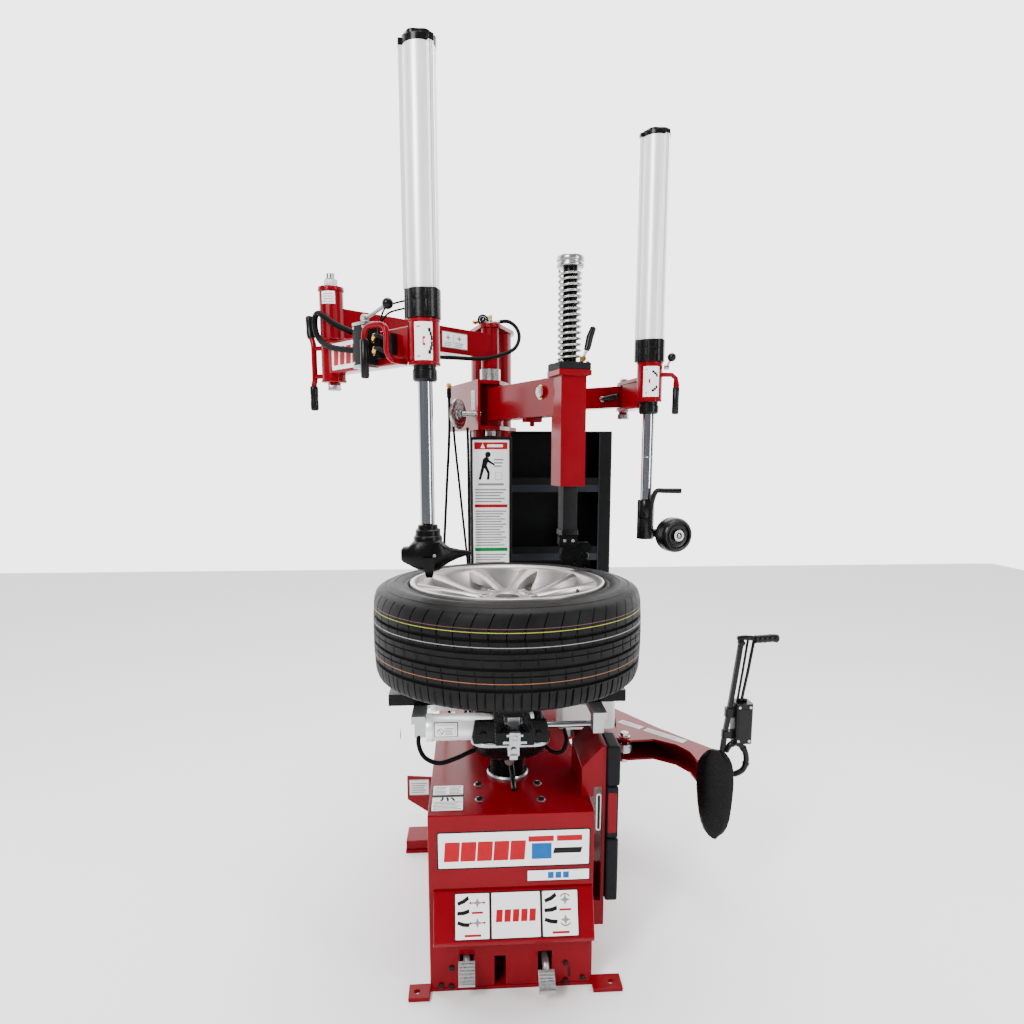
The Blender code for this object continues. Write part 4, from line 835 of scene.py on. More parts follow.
# ---------------------------------------------------------------- the two lift cylinders
def lift_cylinder(side, t, ribs, guide_cuts, bush, rod_r):
    """Tube, cap, sleeve and rod on the upright axis t; guide_cuts are the heights of the sleeve's steps."""
    a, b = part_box(side + "_tube")
    r = 0.0355

    def bored(outline, bore, z0, z1):
        """Upright prism of an outline round the axis, with a round bore."""
        n = len(outline)
        inner = [tuple(Vector(p).normalized() * bore) for p in outline]
        points = [(t.x + x, t.y + y, z) for ring_, z in ((outline, z0), (outline, z1), (inner, z0),
                                                         (inner, z1)) for x, y in ring_]
        faces = []
        for j in range(n):
            k = (j + 1) % n
            faces += [(j, k, n + k, n + j), (2 * n + j, 3 * n + j, 3 * n + k, 2 * n + k),
                      (n + j, n + k, 3 * n + k, 3 * n + j), (j, 2 * n + j, 2 * n + k, k)]
        return points, faces, 0

    shape = ribbed_circle(r, ribs, n=96, slot=0.0042)
    stand_in(side + "_tube", side + "_profile", [bored(shape, 0.0305, a.z, b.z)], "tube", smooth=22)
    a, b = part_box(side + "_tube_cap")
    high_z = b.z - a.z
    star = ribbed_circle(r + 0.0006, ribs, n=72, width=0.013)
    wavy = []
    for k in range(96):
        ang = 2 * math.pi * k / 96
        q = r - 0.0014 + 0.0018 * math.cos(6 * ang)
        wavy.append((q * math.cos(ang), q * math.sin(ang)))
    parts = [slab(star, (t.x, t.y, a.z), X, Y, high_z * 0.62, 0),
             slab(wavy, (t.x, t.y, a.z), X, Y, high_z * 0.96, 0),
             rounded_disc(0.012, high_z, 0.003, (t.x, t.y, a.z), UP, 24, 0)]
    for k in range(4):
        ang = math.radians(30 + 90 * k)
        p = (t.x + 0.025 * math.cos(ang), t.y + 0.025 * math.sin(ang), b.z - high_z * 0.06)
        parts.append(rounded_disc(0.0042, 0.0012, 0.0004, p, UP, 12, 1))
    stand_in(side + "_tube_cap", side + "_cap", parts, ["plastic", "zinc"], bevel=0.0008)
    lo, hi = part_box(side + "_guide")
    z_red, z_black = guide_cuts
    # upper cartridge: one sleeve with the tube's ribs, narrow grooves down its sides and a shallow joint line
    sleeve = []
    for k in range(144):
        ang = 2 * math.pi * k / 144
        u, v = math.cos(ang), math.sin(ang)
        q = 0.0378
        for centre in ribs:
            off = abs((math.degrees(ang) - centre + 180) % 360 - 180)
            if off < 17:
                q += 0.0042 * min(1.0, (17 - off) / 4)
        for groove in (-118, -82, 20, 60, 100, 140):
            off = abs((math.degrees(ang) - groove + 180) % 360 - 180)
            if off < 3:
                q -= 0.0016
        sleeve.append((q * u, q * v))
    tall = hi.z - z_black
    step = [(x * 0.975, y * 0.975) for x, y in sleeve]
    parts = [bored(sleeve, rod_r, z_black, z_black + tall * 0.6),
             bored(step, rod_r, z_black + tall * 0.55, z_black + tall * 0.63),
             bored(sleeve, rod_r, z_black + tall * 0.615, hi.z)]
    prof = [(rod_r, lo.z), (bush - 0.004, lo.z), (bush, lo.z + 0.005), (bush, z_red - 0.01),
            (bush - 0.002, z_red - 0.008), (bush - 0.002, z_red - 0.0005), (0.0262, z_red - 0.0005),
            (0.0262, z_black + 0.004), (rod_r, z_black + 0.004)]
    parts.append(closed_turned(prof, (t.x, t.y, 0), n=40, paint=0))
    stand_in(side + "_guide", side + "_bush", parts, "plastic", bevel=0.0006, smooth=30)
    lo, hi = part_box(side + "_rod")
    radius = (hi.x - lo.x) / 2
    prof = [(0, lo.z), (0.008, lo.z), (0.008, lo.z + 0.0435), (radius - 0.0015, lo.z + 0.045),
            (radius, lo.z + 0.0465), (radius, hi.z), (0, hi.z)]
    if side == "right":
        seam = lo.z + 0.045 + 0.115
        prof[5:5] = shifted((radius, seam), (0, 0), (-0.0006, 0.0008), (-0.0006, 0.0022), (0, 0.003))
    stand_in(side + "_rod", side + "_shaft", [turned(prof, (t.x, t.y, 0), n=48)], "chrome")


lift_cylinder("left", LEFT_AXIS, (188, -52), (1.4712, 1.57), bush=0.0272, rod_r=0.0172)
lift_cylinder("right", RIGHT_AXIS, (188, -62), (1.4162, 1.519), bush=0.0262, rod_r=0.0162)


# ---------------------------------------------------------------- left helper details
ARM_L = (LEFT_AXIS - LEFT_HINGE).normalized()
ARM_L_FRONT = Vector((ARM_L.y, -ARM_L.x, 0))


def on_left(s, n, z):
    """Point on the left outer arm: s along it, n in front of it."""
    p = LEFT_HINGE + ARM_L * s + ARM_L_FRONT * n
    return Vector((p.x, p.y, z))


def left_points(*rows):
    """Points on the left outer arm."""
    return [on_left(*row) for row in rows]


def left_helper():
    hinge, t = LEFT_HINGE, LEFT_AXIS
    inner_lo, inner_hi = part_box("left_inner_arm")
    # rings, nut and stud of the hinge
    lips = [closed_turned([(0.029, z0), (r - 0.001, z0), (r, z0 + 0.001), (r, z1 - 0.001), (r - 0.001, z1),
                           (0.029, z1)],
                          hinge, n=44) for z0, z1, r in ((1.5632, 1.5672, 0.0318), (1.6835, 1.6905, 0.0325))]
    piece("hinge_lips", lips, "red", "left_inner", slot="red_paint")
    top = hinge + UP * 1.6935
    stud = inner_hi.z - top.z
    parts = [rounded_disc(0.0235, 0.003, 0.001, top - UP * 0.0002, UP, 36, 0),
             hexagon(0.0172, 0.018, top + UP * 0.0028, UP, 0), turned([(0, 0), (0.0106, 0),
                                                                       (0.0106, stud - 0.001),
                                                                       (0.0098, stud - 0.0002),
                                                                       (0, stud - 0.0002)], top, n=24),
             hexagon(0.017, 0.015, hinge + UP * (inner_lo.z + 0.0002), UP, 0)]
    piece("hinge_nuts", parts, "zinc", "left_inner", bevel=0.0006)
    label_on_tube("hinge_label", "left_inner", hinge, 0.0302, 1.65, 1.68, -128, -62)
    marks_on_tube("hinge_label_lines", "left_inner", hinge, 0.0308,
                  [(-95, 1.6555 + 0.006 * k, 50 - 8 * (k % 2), 0.0016, "grey_ink")
                   for k in range(4)])

    # outer link: square tube, hinge tube, lift collar, side handle and guard loop
    def run(points, r, paint=0, span=8):
        return sweep(smooth_path(points, span), r, 18, paint)

    z0, z1 = 1.479, 1.557
    length = (t - hinge).length - 0.02 - 0.026
    tube = slab(round_box(0.052, z1 - z0, 0.005, 4), on_left(0.02, 0.026, z0), -ARM_L_FRONT, UP,
                length * (1 if (-ARM_L_FRONT).cross(UP).dot(ARM_L) > 0 else -1), 0)
    parts = [tube,
             closed_turned([(0.0116, 1.46), (0.03, 1.46), (0.0318, 1.461), (0.0318, 1.465), (0.03, 1.466),
                            (0.03, 1.556), (0.0316, 1.557), (0.0316, 1.5612), (0.03, 1.562), (0.0116, 1.562)],
                           hinge, n=48),
             closed_turned([(0.0268, 1.4714), (0.0335, 1.4714), (0.0352, 1.4724), (0.0352, 1.4766),
                            (0.034, 1.4776), (0.034, 1.564), (0.0352, 1.565), (0.0352, 1.5688),
                            (0.0335, 1.5696), (0.0268, 1.5696)], t, n=56),
             run(left_points((-0.05, 0.03, 1.445), (-0.048, 0.03, 1.458), (-0.0435, 0.03, 1.47),
                             (-0.043, 0.03, 1.51), (-0.0435, 0.03, 1.552), (-0.048, 0.031, 1.568),
                             (-0.052, 0.032, 1.58)), 0.0072),
             run(left_points((0.266, 0.085, 1.5), (0.266, 0.085, 1.536), (0.273, 0.085, 1.551),
                             (0.288, 0.084, 1.5565), (0.316, 0.081, 1.5565), (0.332, 0.079, 1.551),
                             (0.3395, 0.078, 1.536), (0.34, 0.078, 1.5), (0.3395, 0.07, 1.486),
                             (0.336, 0.052, 1.481), (0.331, 0.02, 1.481)),
                 0.0064)]
    for z in (1.476, 1.546):
        parts.append(run(left_points((-0.043, 0.03, z), (-0.028, 0.022, z), (-0.012, 0.012, z)), 0.0058))
    stand_in("left_outer_arm", "left_link", parts, "red", bevel=0.0004, smooth=50)
    grip = lambda s: 0.0102 + 0.0004 * math.sin(9 * s)
    parts = [sweep(smooth_path(left_points((-0.05, 0.03, 1.3935), (-0.05, 0.03, 1.42), (-0.05, 0.03, 1.45)),
                               4),
                   grip, 20),
             sweep(smooth_path(left_points((-0.0505, 0.0315, 1.574), (-0.053, 0.032, 1.587),
                                           (-0.054, 0.032, 1.603), (-0.054, 0.032, 1.6245)), 4), grip, 20),
             sweep(left_points((0.266, 0.085, 1.4485), (0.266, 0.085, 1.528)),
                   lambda s: 0.0094 + 0.0003 * math.sin(12 * s), 20)]
    piece("helper_grips", parts, "grip", "left_outer", smooth=50, slot="black_plastic")
    label_on_tube("lift_label", "left_outer", t, 0.0342, 1.48, 1.56, -124, -56)
    marks_on_tube("lift_marks", "left_outer", t, 0.0347, (
        (-68, 1.543, 10, 0.008, "ink"), (-63, 1.535, 9, 0.008, "ink"), (-60, 1.526, 7, 0.01, "ink"),
        (-60, 1.514, 7, 0.01, "ink"), (-63, 1.505, 9, 0.008, "ink"), (-68, 1.497, 10, 0.008, "ink"),
        (-88, 1.527, 9, 0.005, "red_ink"), (-88, 1.513, 9, 0.005, "red_ink"),
        (-91, 1.52, 4, 0.012, "red_ink"), (-108, 1.55, 14, 0.003, "grey_ink"),
        (-108, 1.488, 14, 0.003, "grey_ink")))


    # valve block: body, grey end plates, bolts, brass elbows, silver stub and ball
    a0, a1 = 0.186, 0.236
    z0, z1 = low("left_valve_block").z, high("left_valve_block").z

    def local(s0, s1, n0, n1, low_z, high_z, paint=0, r=0.002):
        return slab(round_box(s1 - s0, n1 - n0, r, 3), on_left(s0, n1, low_z), ARM_L, -ARM_L_FRONT,
                    high_z - low_z, paint)

    parts = [local(a0 + 0.001, a1 - 0.001, 0.0268, 0.0632, z0 + 0.007, z1 - 0.007, 0),
             local(a0, a1, 0.0266, 0.0638, z1 - 0.0072, z1 - 0.0004, 1),
             local(a0, a1, 0.0266, 0.0638, z0, z0 + 0.0072, 1), local(0.236, 0.262, 0.0275, 0.0435, 1.494,
                                                                      1.546, 0), local(0.288, 0.3095, 0.0275,
                                                                                       0.043, 1.498, 1.544,
                                                                                       0)]
    for s in (0.192, 0.23):
        for z in (z0 + 0.012, z1 - 0.012):
            parts.append(rounded_disc(0.0035, 0.0016, 0.0005, on_left(s, 0.0625, z), ARM_L_FRONT, 14, 2))
    for z in (1.534, 1.506):
        parts += [sweep(left_points((0.246, 0.042, z), (0.256, 0.052, z + 0.002), (0.266, 0.056, z + 0.008)),
                        0.0058, 14, 3),
                  hexagon(0.0078, 0.007, on_left(0.246, 0.0425, z), ARM_L_FRONT, 3),
                  sweep(left_points((0.266, 0.056, z + 0.008), (0.28, 0.056, z + 0.006),
                                    (0.296, 0.048, z - 0.004), (0.3, 0.036, z - 0.01)), 0.0042, 12, 0)]
    for s, n in ((0.194, 0.034), (0.228, 0.034), (0.228, 0.057)):
        parts.append(rounded_disc(0.0042, 0.0022, 0.0006, on_left(s, n, z1 - 0.0008), UP, 16, 2))
    stand_in("left_valve_block", "valve_body", parts, ["rubber", "steel", "zinc", "brass"], bevel=0.0007,
             smooth=25)
    foot, ball_at = Vector(JOINTS["left_valve_lever_hinge"]["pos_m"]), on_left(0.302, 0.045, 1.607)
    parts = [turned([(0, -0.0065), (0.008, -0.0065), (0.0088, -0.0055), (0.0088, 0.0055), (0.008, 0.0065),
                     (0, 0.0065)],
                    foot, ARM_L_FRONT, 24, 0),
             sweep(smooth_path([foot, on_left(0.24, 0.045, 1.5915), on_left(0.292, 0.045, 1.6045)], 4), 0.004,
                   16, 0),
             turned(ball_profile(0.0125), ball_at, (ball_at - on_left(0.24, 0.045, 1.5915)), 28, 1)]
    stand_in("left_valve_lever", "valve_lever", parts, ["zinc", "plastic"])

    # plate with coloured blocks on the link beside the hinge, and the paler label of the first link
    plate = Label("link_plate", "left_outer", on_left(0.036, 0.0262, 1.486), ARM_L, UP, 0.146, 0.064,
                  frame_ink="white")
    for k in range(5):
        plate.shape([(0.008 + 0.0275 * k, 0.01), (0.029 + 0.0275 * k, 0.01), (0.032 + 0.0275 * k, 0.054),
                     (0.011 + 0.0275 * k, 0.054)],
                    "red_ink")
    plate.build()
    toward = (hinge - PIVOT).normalized()
    face = Vector((-toward.y, toward.x, 0))
    face = face if face.y < 0 else -face
    right = UP.cross(face)
    start = PIVOT + toward * (0.22 if right.dot(toward) < 0 else 0.12) + face * 0.0232
    two = Label("link_label", "left_inner", start + UP * 1.584, right, UP, 0.1, 0.046, frame_ink="grey_ink")
    two.bar(0.0444, 0.004, 0.0012, 0.036, "grey_ink")
    for u in (0.006, 0.05):
        two.star(u + 0.017, 0.029, 0.02, "grey_ink")
        two.lines(u, 0.004, 0.034, 0.014, 3, "grey_ink")
    two.build()


left_helper()


# ---------------------------------------------------------------- pressing foot of the left helper
def press_foot():
    """Cone, star-shaped body and prong that press the bead down."""
    t = LEFT_AXIS
    lo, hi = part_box("press_tool")
    cone = [(0, lo.z + 0.052), (0.027, lo.z + 0.052), (0.0305, lo.z + 0.06), (0.033, lo.z + 0.0855),
            (0.0315, lo.z + 0.0905), (0.029, lo.z + 0.0925), (0.028, lo.z + 0.104), (0.0235, lo.z + 0.107),
            (0.0225, lo.z + 0.1155), (0.0195, hi.z - 0.001), (0.0085, hi.z - 0.001), (0.0083, lo.z + 0.1),
            (0, lo.z + 0.1)]
    # body: sections from the blunt left arm to the pointed right arm (x, low z, high z, half width)
    left, right_x = lo.x - t.x + 0.0005, hi.x - t.x - 0.0005
    rows = ((left, 0.036, 0.062, 0.013), (left + 0.005, 0.031, 0.067, 0.017), (-0.044, 0.026, 0.068, 0.023),
            (-0.033, 0.02, 0.08, 0.029), (-0.016, 0.012, 0.087, 0.033), (0.006, 0.008, 0.088, 0.034),
            (0.026, 0.014, 0.086, 0.032), (0.036, 0.022, 0.074, 0.027), (0.05, 0.031, 0.064, 0.021),
            (0.07, 0.04, 0.06, 0.014), (0.088, 0.0455, 0.0575, 0.009), (right_x, 0.049, 0.054, 0.004))
    body, n = [], 12
    for x, z0, z1, w in rows:
        body.append([])
        for k in range(n):
            ang = 2 * math.pi * (k + 0.5) / n
            c, s = math.cos(ang), math.sin(ang)
            u = math.copysign(abs(c) ** 0.6, c) * w
            v = (z0 + z1) / 2 + math.copysign(abs(s) ** 0.6, s) * (z1 - z0) / 2
            body[-1].append((t.x + x, t.y - 0.006 + u, lo.z + v))
    prong = []
    for z, w, d0, d1 in ((lo.z, 0.0065, -0.04, -0.03), (lo.z + 0.006, 0.0085, -0.044, -0.026),
                         (lo.z + 0.02, 0.0105, -0.047, -0.018), (lo.z + 0.046, 0.016, lo.y - t.y + 0.001,
                                                                 -0.01)):
        prong.append([(t.x + 0.004 - w, t.y + d0, z), (t.x + 0.004 + w, t.y + d0, z),
                      (t.x + 0.004 + w, t.y + d1, z), (t.x + 0.004 - w, t.y + d1, z)])
    parts = [turned(cone, (t.x, t.y, 0), n=44), lofted(body), lofted(prong)]
    for x, d in ((-0.022, 0.034), (0.022, 0.034)):
        parts.append(rounded_disc(0.006, 0.02, 0.0025, (t.x + x, t.y + d * 0.55, lo.z + 0.086), UP, 18, 0))
    parts += bolt(0.0042, (t.x + 0.016, t.y - 0.0385, lo.z + 0.05), TO_FRONT, 1, False)
    stand_in("press_tool", "press_cone", parts, ["cast", "zinc"], bevel=0.0016, smooth=40, levels=3)


press_foot()


# ---------------------------------------------------------------- right helper details
def right_helper():
    h, t = joint_at("right_outer_pivot", 0), RIGHT_AXIS
    parts = [rounded_disc(0.015, 0.0025, 0.0008, h + UP * 1.4822, UP, 28, 0),
             hexagon(0.0118, 0.0085, h + UP * 1.4846, UP, 0), rounded_disc(0.0062, 0.0105, 0.001,
                                                                           h + UP * 1.4846, UP, 18, 0),
             rounded_disc(0.015, 0.0025, 0.0008, h + UP * 1.399, UP, 28, 0),
             hexagon(0.0172, 0.015, h + UP * 1.379, UP, 0)]
    piece("right_hinge_bolt", parts, "zinc", "right_inner", bevel=0.0005)
    parts = []
    for z0, z1 in ((1.4164, 1.4208), (1.5138, 1.5182)):
        parts.append(closed_turned([(0.0325, z0), (0.0345, z0 + 0.0008), (0.0345, z1 - 0.0008), (0.0325, z1)],
                                   t, n=48))
    piece("right_collar_lips", parts, "red", "right_outer", slot="red_paint")
    label_on_tube("right_lift_label", "right_outer", t, 0.0337, 1.428, 1.506, -132, -58)
    marks_on_tube("right_lift_marks", "right_outer", t, 0.0342, (
        (-88, 1.492, 12, 0.006, "ink"), (-79, 1.488, 12, 0.006, "ink"), (-71, 1.483, 9, 0.008, "ink"),
        (-88, 1.444, 12, 0.006, "ink"), (-79, 1.448, 12, 0.006, "ink"), (-71, 1.453, 9, 0.008, "ink"),
        (-104, 1.468, 8, 0.01, "red_ink"), (-118, 1.498, 10, 0.0024, "grey_ink"),
        (-118, 1.438, 10, 0.0024, "grey_ink")))
    grip = [Vector((0.461, 0.1575, 1.453)), Vector((0.461, 0.158, 1.42)), Vector((0.461, 0.158, 1.3868))]
    piece("right_grip", [sweep(grip, lambda s: 0.0094 + 0.0004 * math.sin(10 * s), 20)], "grip",
          "right_outer", smooth=50, slot="black_plastic")
    # valve under the collar with its ball lever
    foot = Vector(JOINTS["right_valve_lever_hinge"]["pos_m"])
    ball_at = high("right_valve_lever") - Vector((0.0115,) * 3)
    ball_at.y = low("right_valve_lever").y + 0.0115
    parts = [turned([(0, -0.0068), (0.0055, -0.0068), (0.0063, -0.0058), (0.0063, 0.0046), (0, 0.0048)], foot,
                    X, 20, 0),
             sweep(smooth_path([foot, foot.lerp(ball_at, 0.45) + UP * 0.001, foot.lerp(ball_at, 0.8)], 4),
                   0.0031, 14, 0),
             turned(ball_profile(0.0113), ball_at, ball_at - foot, 26, 1)]
    stand_in("right_valve_lever", "right_lever", parts, ["zinc", "plastic"])

    # lock knob lying on the inner arm
    m = joint_at("right_inner_pivot", 0)
    toward = (h - m).normalized()
    face = Vector((toward.y, -toward.x, 0))
    on = lambda s, n, z: m + toward * s + face * n + UP * z
    reach = (h - m).length
    knob = [on(reach - 0.05, 0.03, 1.4375), on(reach - 0.028, 0.0325, 1.4395),
            on(reach - 0.002, 0.034, 1.443)]
    parts = [sweep(smooth_path(knob, 5), lambda s: 0.007 + 0.0018 * math.sin(math.pi * s), 18, 0),
             rounded_disc(0.0085, 0.01, 0.002, on(reach - 0.054, 0.024, 1.437), face, 20, 1)]
    piece("right_lock_knob", parts, ["plastic", "zinc"], "right_inner", smooth=50, slot="black_plastic")

    # roller
    n = Vector(JOINTS["roller_spin"]["axis"]).normalized()
    if n.y > 0:
        n = -n
    origin = Vector(JOINTS["roller_spin"]["pos_m"])
    prof = [(0.0092, 0.0), (0.038, 0.0), (0.0435, 0.0015), (0.0458, 0.006), (0.047, 0.014), (0.047, 0.0165),
            (0.0458, 0.0175), (0.0458, 0.019), (0.047, 0.02), (0.047, 0.035), (0.0462, 0.041), (0.044, 0.046),
            (0.0405, 0.0496), (0.037, 0.05), (0.0345, 0.0492), (0.0335, 0.046), (0.0325, 0.0425),
            (0.0275, 0.042), (0.0265, 0.0435), (0.0215, 0.0435), (0.0205, 0.042), (0.0165, 0.042),
            (0.015, 0.044), (0.0145, 0.048), (0.012, 0.0492), (0.0092, 0.0492)]
    stand_in("roller", "bead_roller", [closed_turned(prof, origin, n, 64)], "plastic", smooth=32)
    tip = origin + n * 0.0495
    # sleeve and bent handle of the carrier
    lo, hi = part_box("roller_bracket")
    sleeve = closed_turned([(0.0172, 1.1045), (0.0215, 1.1045), (0.0228, 1.106), (0.0228, 1.152),
                            (0.0215, 1.154), (0.0172, 1.154)], t, n=44)
    foot = closed_turned([(0.0085, lo.z + 0.0002), (0.0215, lo.z + 0.0002), (0.0228, lo.z + 0.0015),
                          (0.0228, 1.1044), (0.0085, 1.1044)], t, n=44)
    x, y, z = t.x + 0.008, t.y - 0.02, hi.z - 0.007
    bend = smooth_path([(x, y, 1.07), (x + 0.001, y, 1.13), (x + 0.006, y - 0.004, 1.162),
                        (x + 0.014, y - 0.008, z - 0.001), (x + 0.034, y - 0.014, z),
                        (x + 0.075, y - 0.024, z)], 8)
    piece("carrier_sleeve", [sleeve, foot, sweep(bend, lambda s: 0.0062 + 0.0008 * s, 18)], "plastic",
          "roller_carrier", smooth=50, slot="black_plastic")
    piece("roller_hub", [closed_turned([(0.0052, 0.0), (0.015, 0.0), (0.0155, 0.0012), (0.015, 0.0022),
                                        (0.0052, 0.0022)], tip, n, 36)],
          "zinc", "roller_carrier")
    piece("roller_axle", [rounded_disc(0.0048, 0.003, 0.001, tip, n, 16, 0)], "zinc",
          "roller_carrier")


right_helper()


# ---------------------------------------------------------------- bead breaker
def blade():
    """Bowed leaf of the bead breaker shoe with its hinge knuckle."""
    lo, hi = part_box("breaker_shoe")
    hinge = joint_at("breaker_shoe_pivot", 0)
    normal = Vector((-0.42, -0.907, 0)).normalized()
    across = Vector((-normal.y, normal.x, 0))
    tall = hi.z - lo.z
    half = ((0.0, -0.001, 0.012), (0.03, -0.017, 0.018), (0.08, -0.029, 0.032), (0.16, -0.038, 0.0425),
            (0.26, -0.045, 0.049), (0.4, -0.051, 0.053), (0.54, -0.055, 0.0555), (0.66, -0.057, 0.056),
            (0.78, -0.055, 0.054), (0.86, -0.049, 0.049), (0.925, -0.038, 0.04), (0.97, -0.027, 0.029),
            (1.0, -0.012, 0.012))
    cols = 9
    points, faces = [], []
    for side in (0, 1):
        for t, left, right in half:
            z, left, right = lo.z + tall * t, left * 0.89 - 0.001, right * 0.89 - 0.001
            for k in range(cols):
                s = left + (right - left) * k / (cols - 1)
                edge = 1 - abs(2 * k / (cols - 1) - 1)
                bow = 0.05 - 3.2 * (s - 0.013) ** 2 - 0.9 * min(0.0, z - 0.36) ** 2
                depth = bow + (0.009 if side else 0.0) * min(1.0, 0.35 + 3 * edge)
                p = hinge + across * (s + 0.013) + normal * depth
                points.append((p.x, p.y, z))
    rows, m = len(half), len(half) * cols
    for i in range(rows - 1):
        for k in range(cols - 1):
            a = i * cols + k
            faces += [(a, a + 1, a + cols + 1, a + cols), (m + a, m + a + cols, m + a + cols + 1, m + a + 1)]
        for k in (0, cols - 1):
            a = i * cols + k
            faces.append((a, a + cols, m + a + cols, m + a))
    for i in (0, rows - 1):
        for k in range(cols - 1):
            a = i * cols + k
            faces.append((a, m + a, m + a + 1, a + 1))
    arm_z = low("breaker_arm").z
    hub_z = hinge + UP * (arm_z + 0.012 - 0.026)
    knuckle = closed_turned([(0.0094, 0.0), (0.014, 0.0), (0.015, 0.001), (0.015, 0.0245), (0.014, 0.0254),
                             (0.0094, 0.0254)],
                            hub_z, n=32)
    web_at = hinge + normal * 0.012 + UP * hub_z.z
    web = slab([(-0.008, 0), (0.008, 0), (0.008, 0.041), (-0.008, 0.041)], web_at, across, normal, 0.0245)
    stand_in("breaker_shoe", "shoe_blade", [(points, faces, 0), knuckle, web], "cast", smooth=45)


def breaker():
    lo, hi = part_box("breaker_handle")
    arm_lo, arm_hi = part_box("breaker_arm")
    y, foot_z = (lo.y + hi.y) / 2, lo.z
    x = lo.x + 0.011
    grip_z = hi.z - 0.0125
    # main flat bar and the two thinner rods beside it
    main = [(x, y, foot_z + 0.001), (x + 0.004, y, foot_z + 0.06), (x + 0.02, y, foot_z + 0.18),
            (x + 0.037, y, foot_z + 0.32), (x + 0.04, y, grip_z + 0.004)]
    parts = [sweep(smooth_path(main, 6), 0.0086, 4, 0, rounded=False),
             sweep([(x + 0.046, y - 0.002, foot_z + 0.165), (x + 0.062, y - 0.002, foot_z + 0.26),
                    (x + 0.074, y - 0.002, grip_z - 0.004)],
                   0.0042, 14, 0),
             sweep([(x + 0.036, y, foot_z + 0.165), (x + 0.048, y, foot_z + 0.26),
                    (x + 0.058, y, grip_z - 0.004)], 0.0034, 12, 0),
             sweep(smooth_path(shifted((x, y, grip_z), (0.03, 0, 0.002), (0.05, 0, 0.004), (0.085, 0, 0.001)),
                               5),
                   0.007, 16, 0),
             rounded_disc(0.0085, 0.02, 0.002, (x + 0.04, y + 0.01, grip_z - 0.01), TO_FRONT, 20, 0)]
    grip = smooth_path([(x + 0.078, y, grip_z - 0.001), (x + 0.102, y, grip_z),
                        (x + 0.125, y, grip_z + 0.0015), (hi.x - 0.004, y, grip_z)], 14)
    parts.append(sweep(grip, lambda s: 0.0118 - 0.001 * abs(math.sin(s * math.pi * 4.5)) if s < 0.94
                       else 0.0118, 24, 1))
    # valve box with its bolts, brackets and knuckles on the bar
    vx0, vx1 = x + 0.027, x + 0.075
    z0, z1 = foot_z + 0.057, foot_z + 0.1715
    parts += [slab(round_box(vx1 - vx0, 0.048, 0.006, 4), (vx0, y - 0.024, z0), X, Y, z1 - z0, 1),
              slab(round_box(vx1 - vx0 - 0.012, z1 - z0 - 0.03, 0.004, 4),
                   (vx0 + 0.006, y - 0.0238, z0 + 0.015), X, UP, 0.0018, 1),
              slab(round_box(0.034, 0.022, 0.003, 3), (vx0 - 0.022, y - 0.01, foot_z + 0.128), X, Y, 0.026,
                   1),
              slab(round_box(0.034, 0.022, 0.003, 3), (vx0 - 0.028, y - 0.01, foot_z + 0.068), X, Y, 0.02, 1)]
    for dx in (0.009, 0.039):
        for z in (z0 + 0.009, z1 - 0.009):
            parts.append(rounded_disc(0.0042, 0.0022, 0.0006, (vx0 + dx, y - 0.0238, z), TO_FRONT, 14, 2))
    for dx in (0.019, 0.031):
        parts.append(rounded_disc(0.0062, 0.01, 0.002, (vx0 + dx, y - 0.0006, z1 - 0.001), UP, 20, 0))
    stand_in("breaker_handle", "breaker_control", parts, ["plastic", "grip", "zinc"], smooth=50, bevel=0.0004)

    # pins and labels of the channel arm
    rod_eye = Vector((high("bead_rod").x - 0.0235, middle("bead_rod").y, 0))
    z1 = arm_hi.z - 0.014
    pivot = joint_at("breaker_swing", 0)
    parts = [hexagon(0.0138, 0.01, rod_eye + UP * (z1 + 0.0042), UP, 0),
             rounded_disc(0.017, 0.003, 0.001, rod_eye + UP * (z1 + 0.0004), UP, 28, 0),
             rounded_disc(0.0062, 0.0145, 0.001, rod_eye + UP * z1, UP, 16, 0),
             hexagon(0.015, 0.011, Vector((pivot.x, pivot.y, z1)), UP, 0),
             hexagon(0.0138, 0.012, rod_eye + UP * (arm_lo.z + 0.0001), UP, 0)]
    piece("breaker_pins", parts, "zinc", "breaker", bevel=0.0005)
    eye = Vector((rod_eye.x, rod_eye.y, middle("bead_rod").z))
    parts = [closed_turned([(0.0162, -0.0125), (0.0225, -0.0125), (0.024, -0.008), (0.024, 0.008),
                            (0.0225, 0.0125), (0.0162, 0.0125)], eye, n=36, paint=0),
             sweep([eye - X * 0.06, eye - X * 0.024], 0.0145, 24, 0, rounded=False),
             hexagon(0.0185, 0.012, eye - X * 0.072, X, 0),
             sweep([eye - X * 0.3, eye - X * 0.07], 0.0122, 28, 1, rounded=False)]
    piece("breaker_rod_end", parts, ["steel", "chrome"], "bead_piston", slot="chrome_rod", smooth=40)
    start, end = rod_eye + Vector((0.02, 0.115, 0)), rod_eye + Vector((0.205, -0.085, 0))
    run = (end - start).normalized()
    across = Vector((-run.y, run.x, 0))
    for name, shift, length in (("arm_label_a", -0.012, 0.085), ("arm_label_b", 0.085, 0.14)):
        tag = Label(name, "breaker", start + run * shift - across * 0.016 + UP * z1, run, across, length,
                    0.03, ("pale",), frame_ink="grey_ink", radius=0.002)
        tag.lines(0.006, 0.005, length - 0.012, 0.02, 4, "grey_ink")
        tag.build()

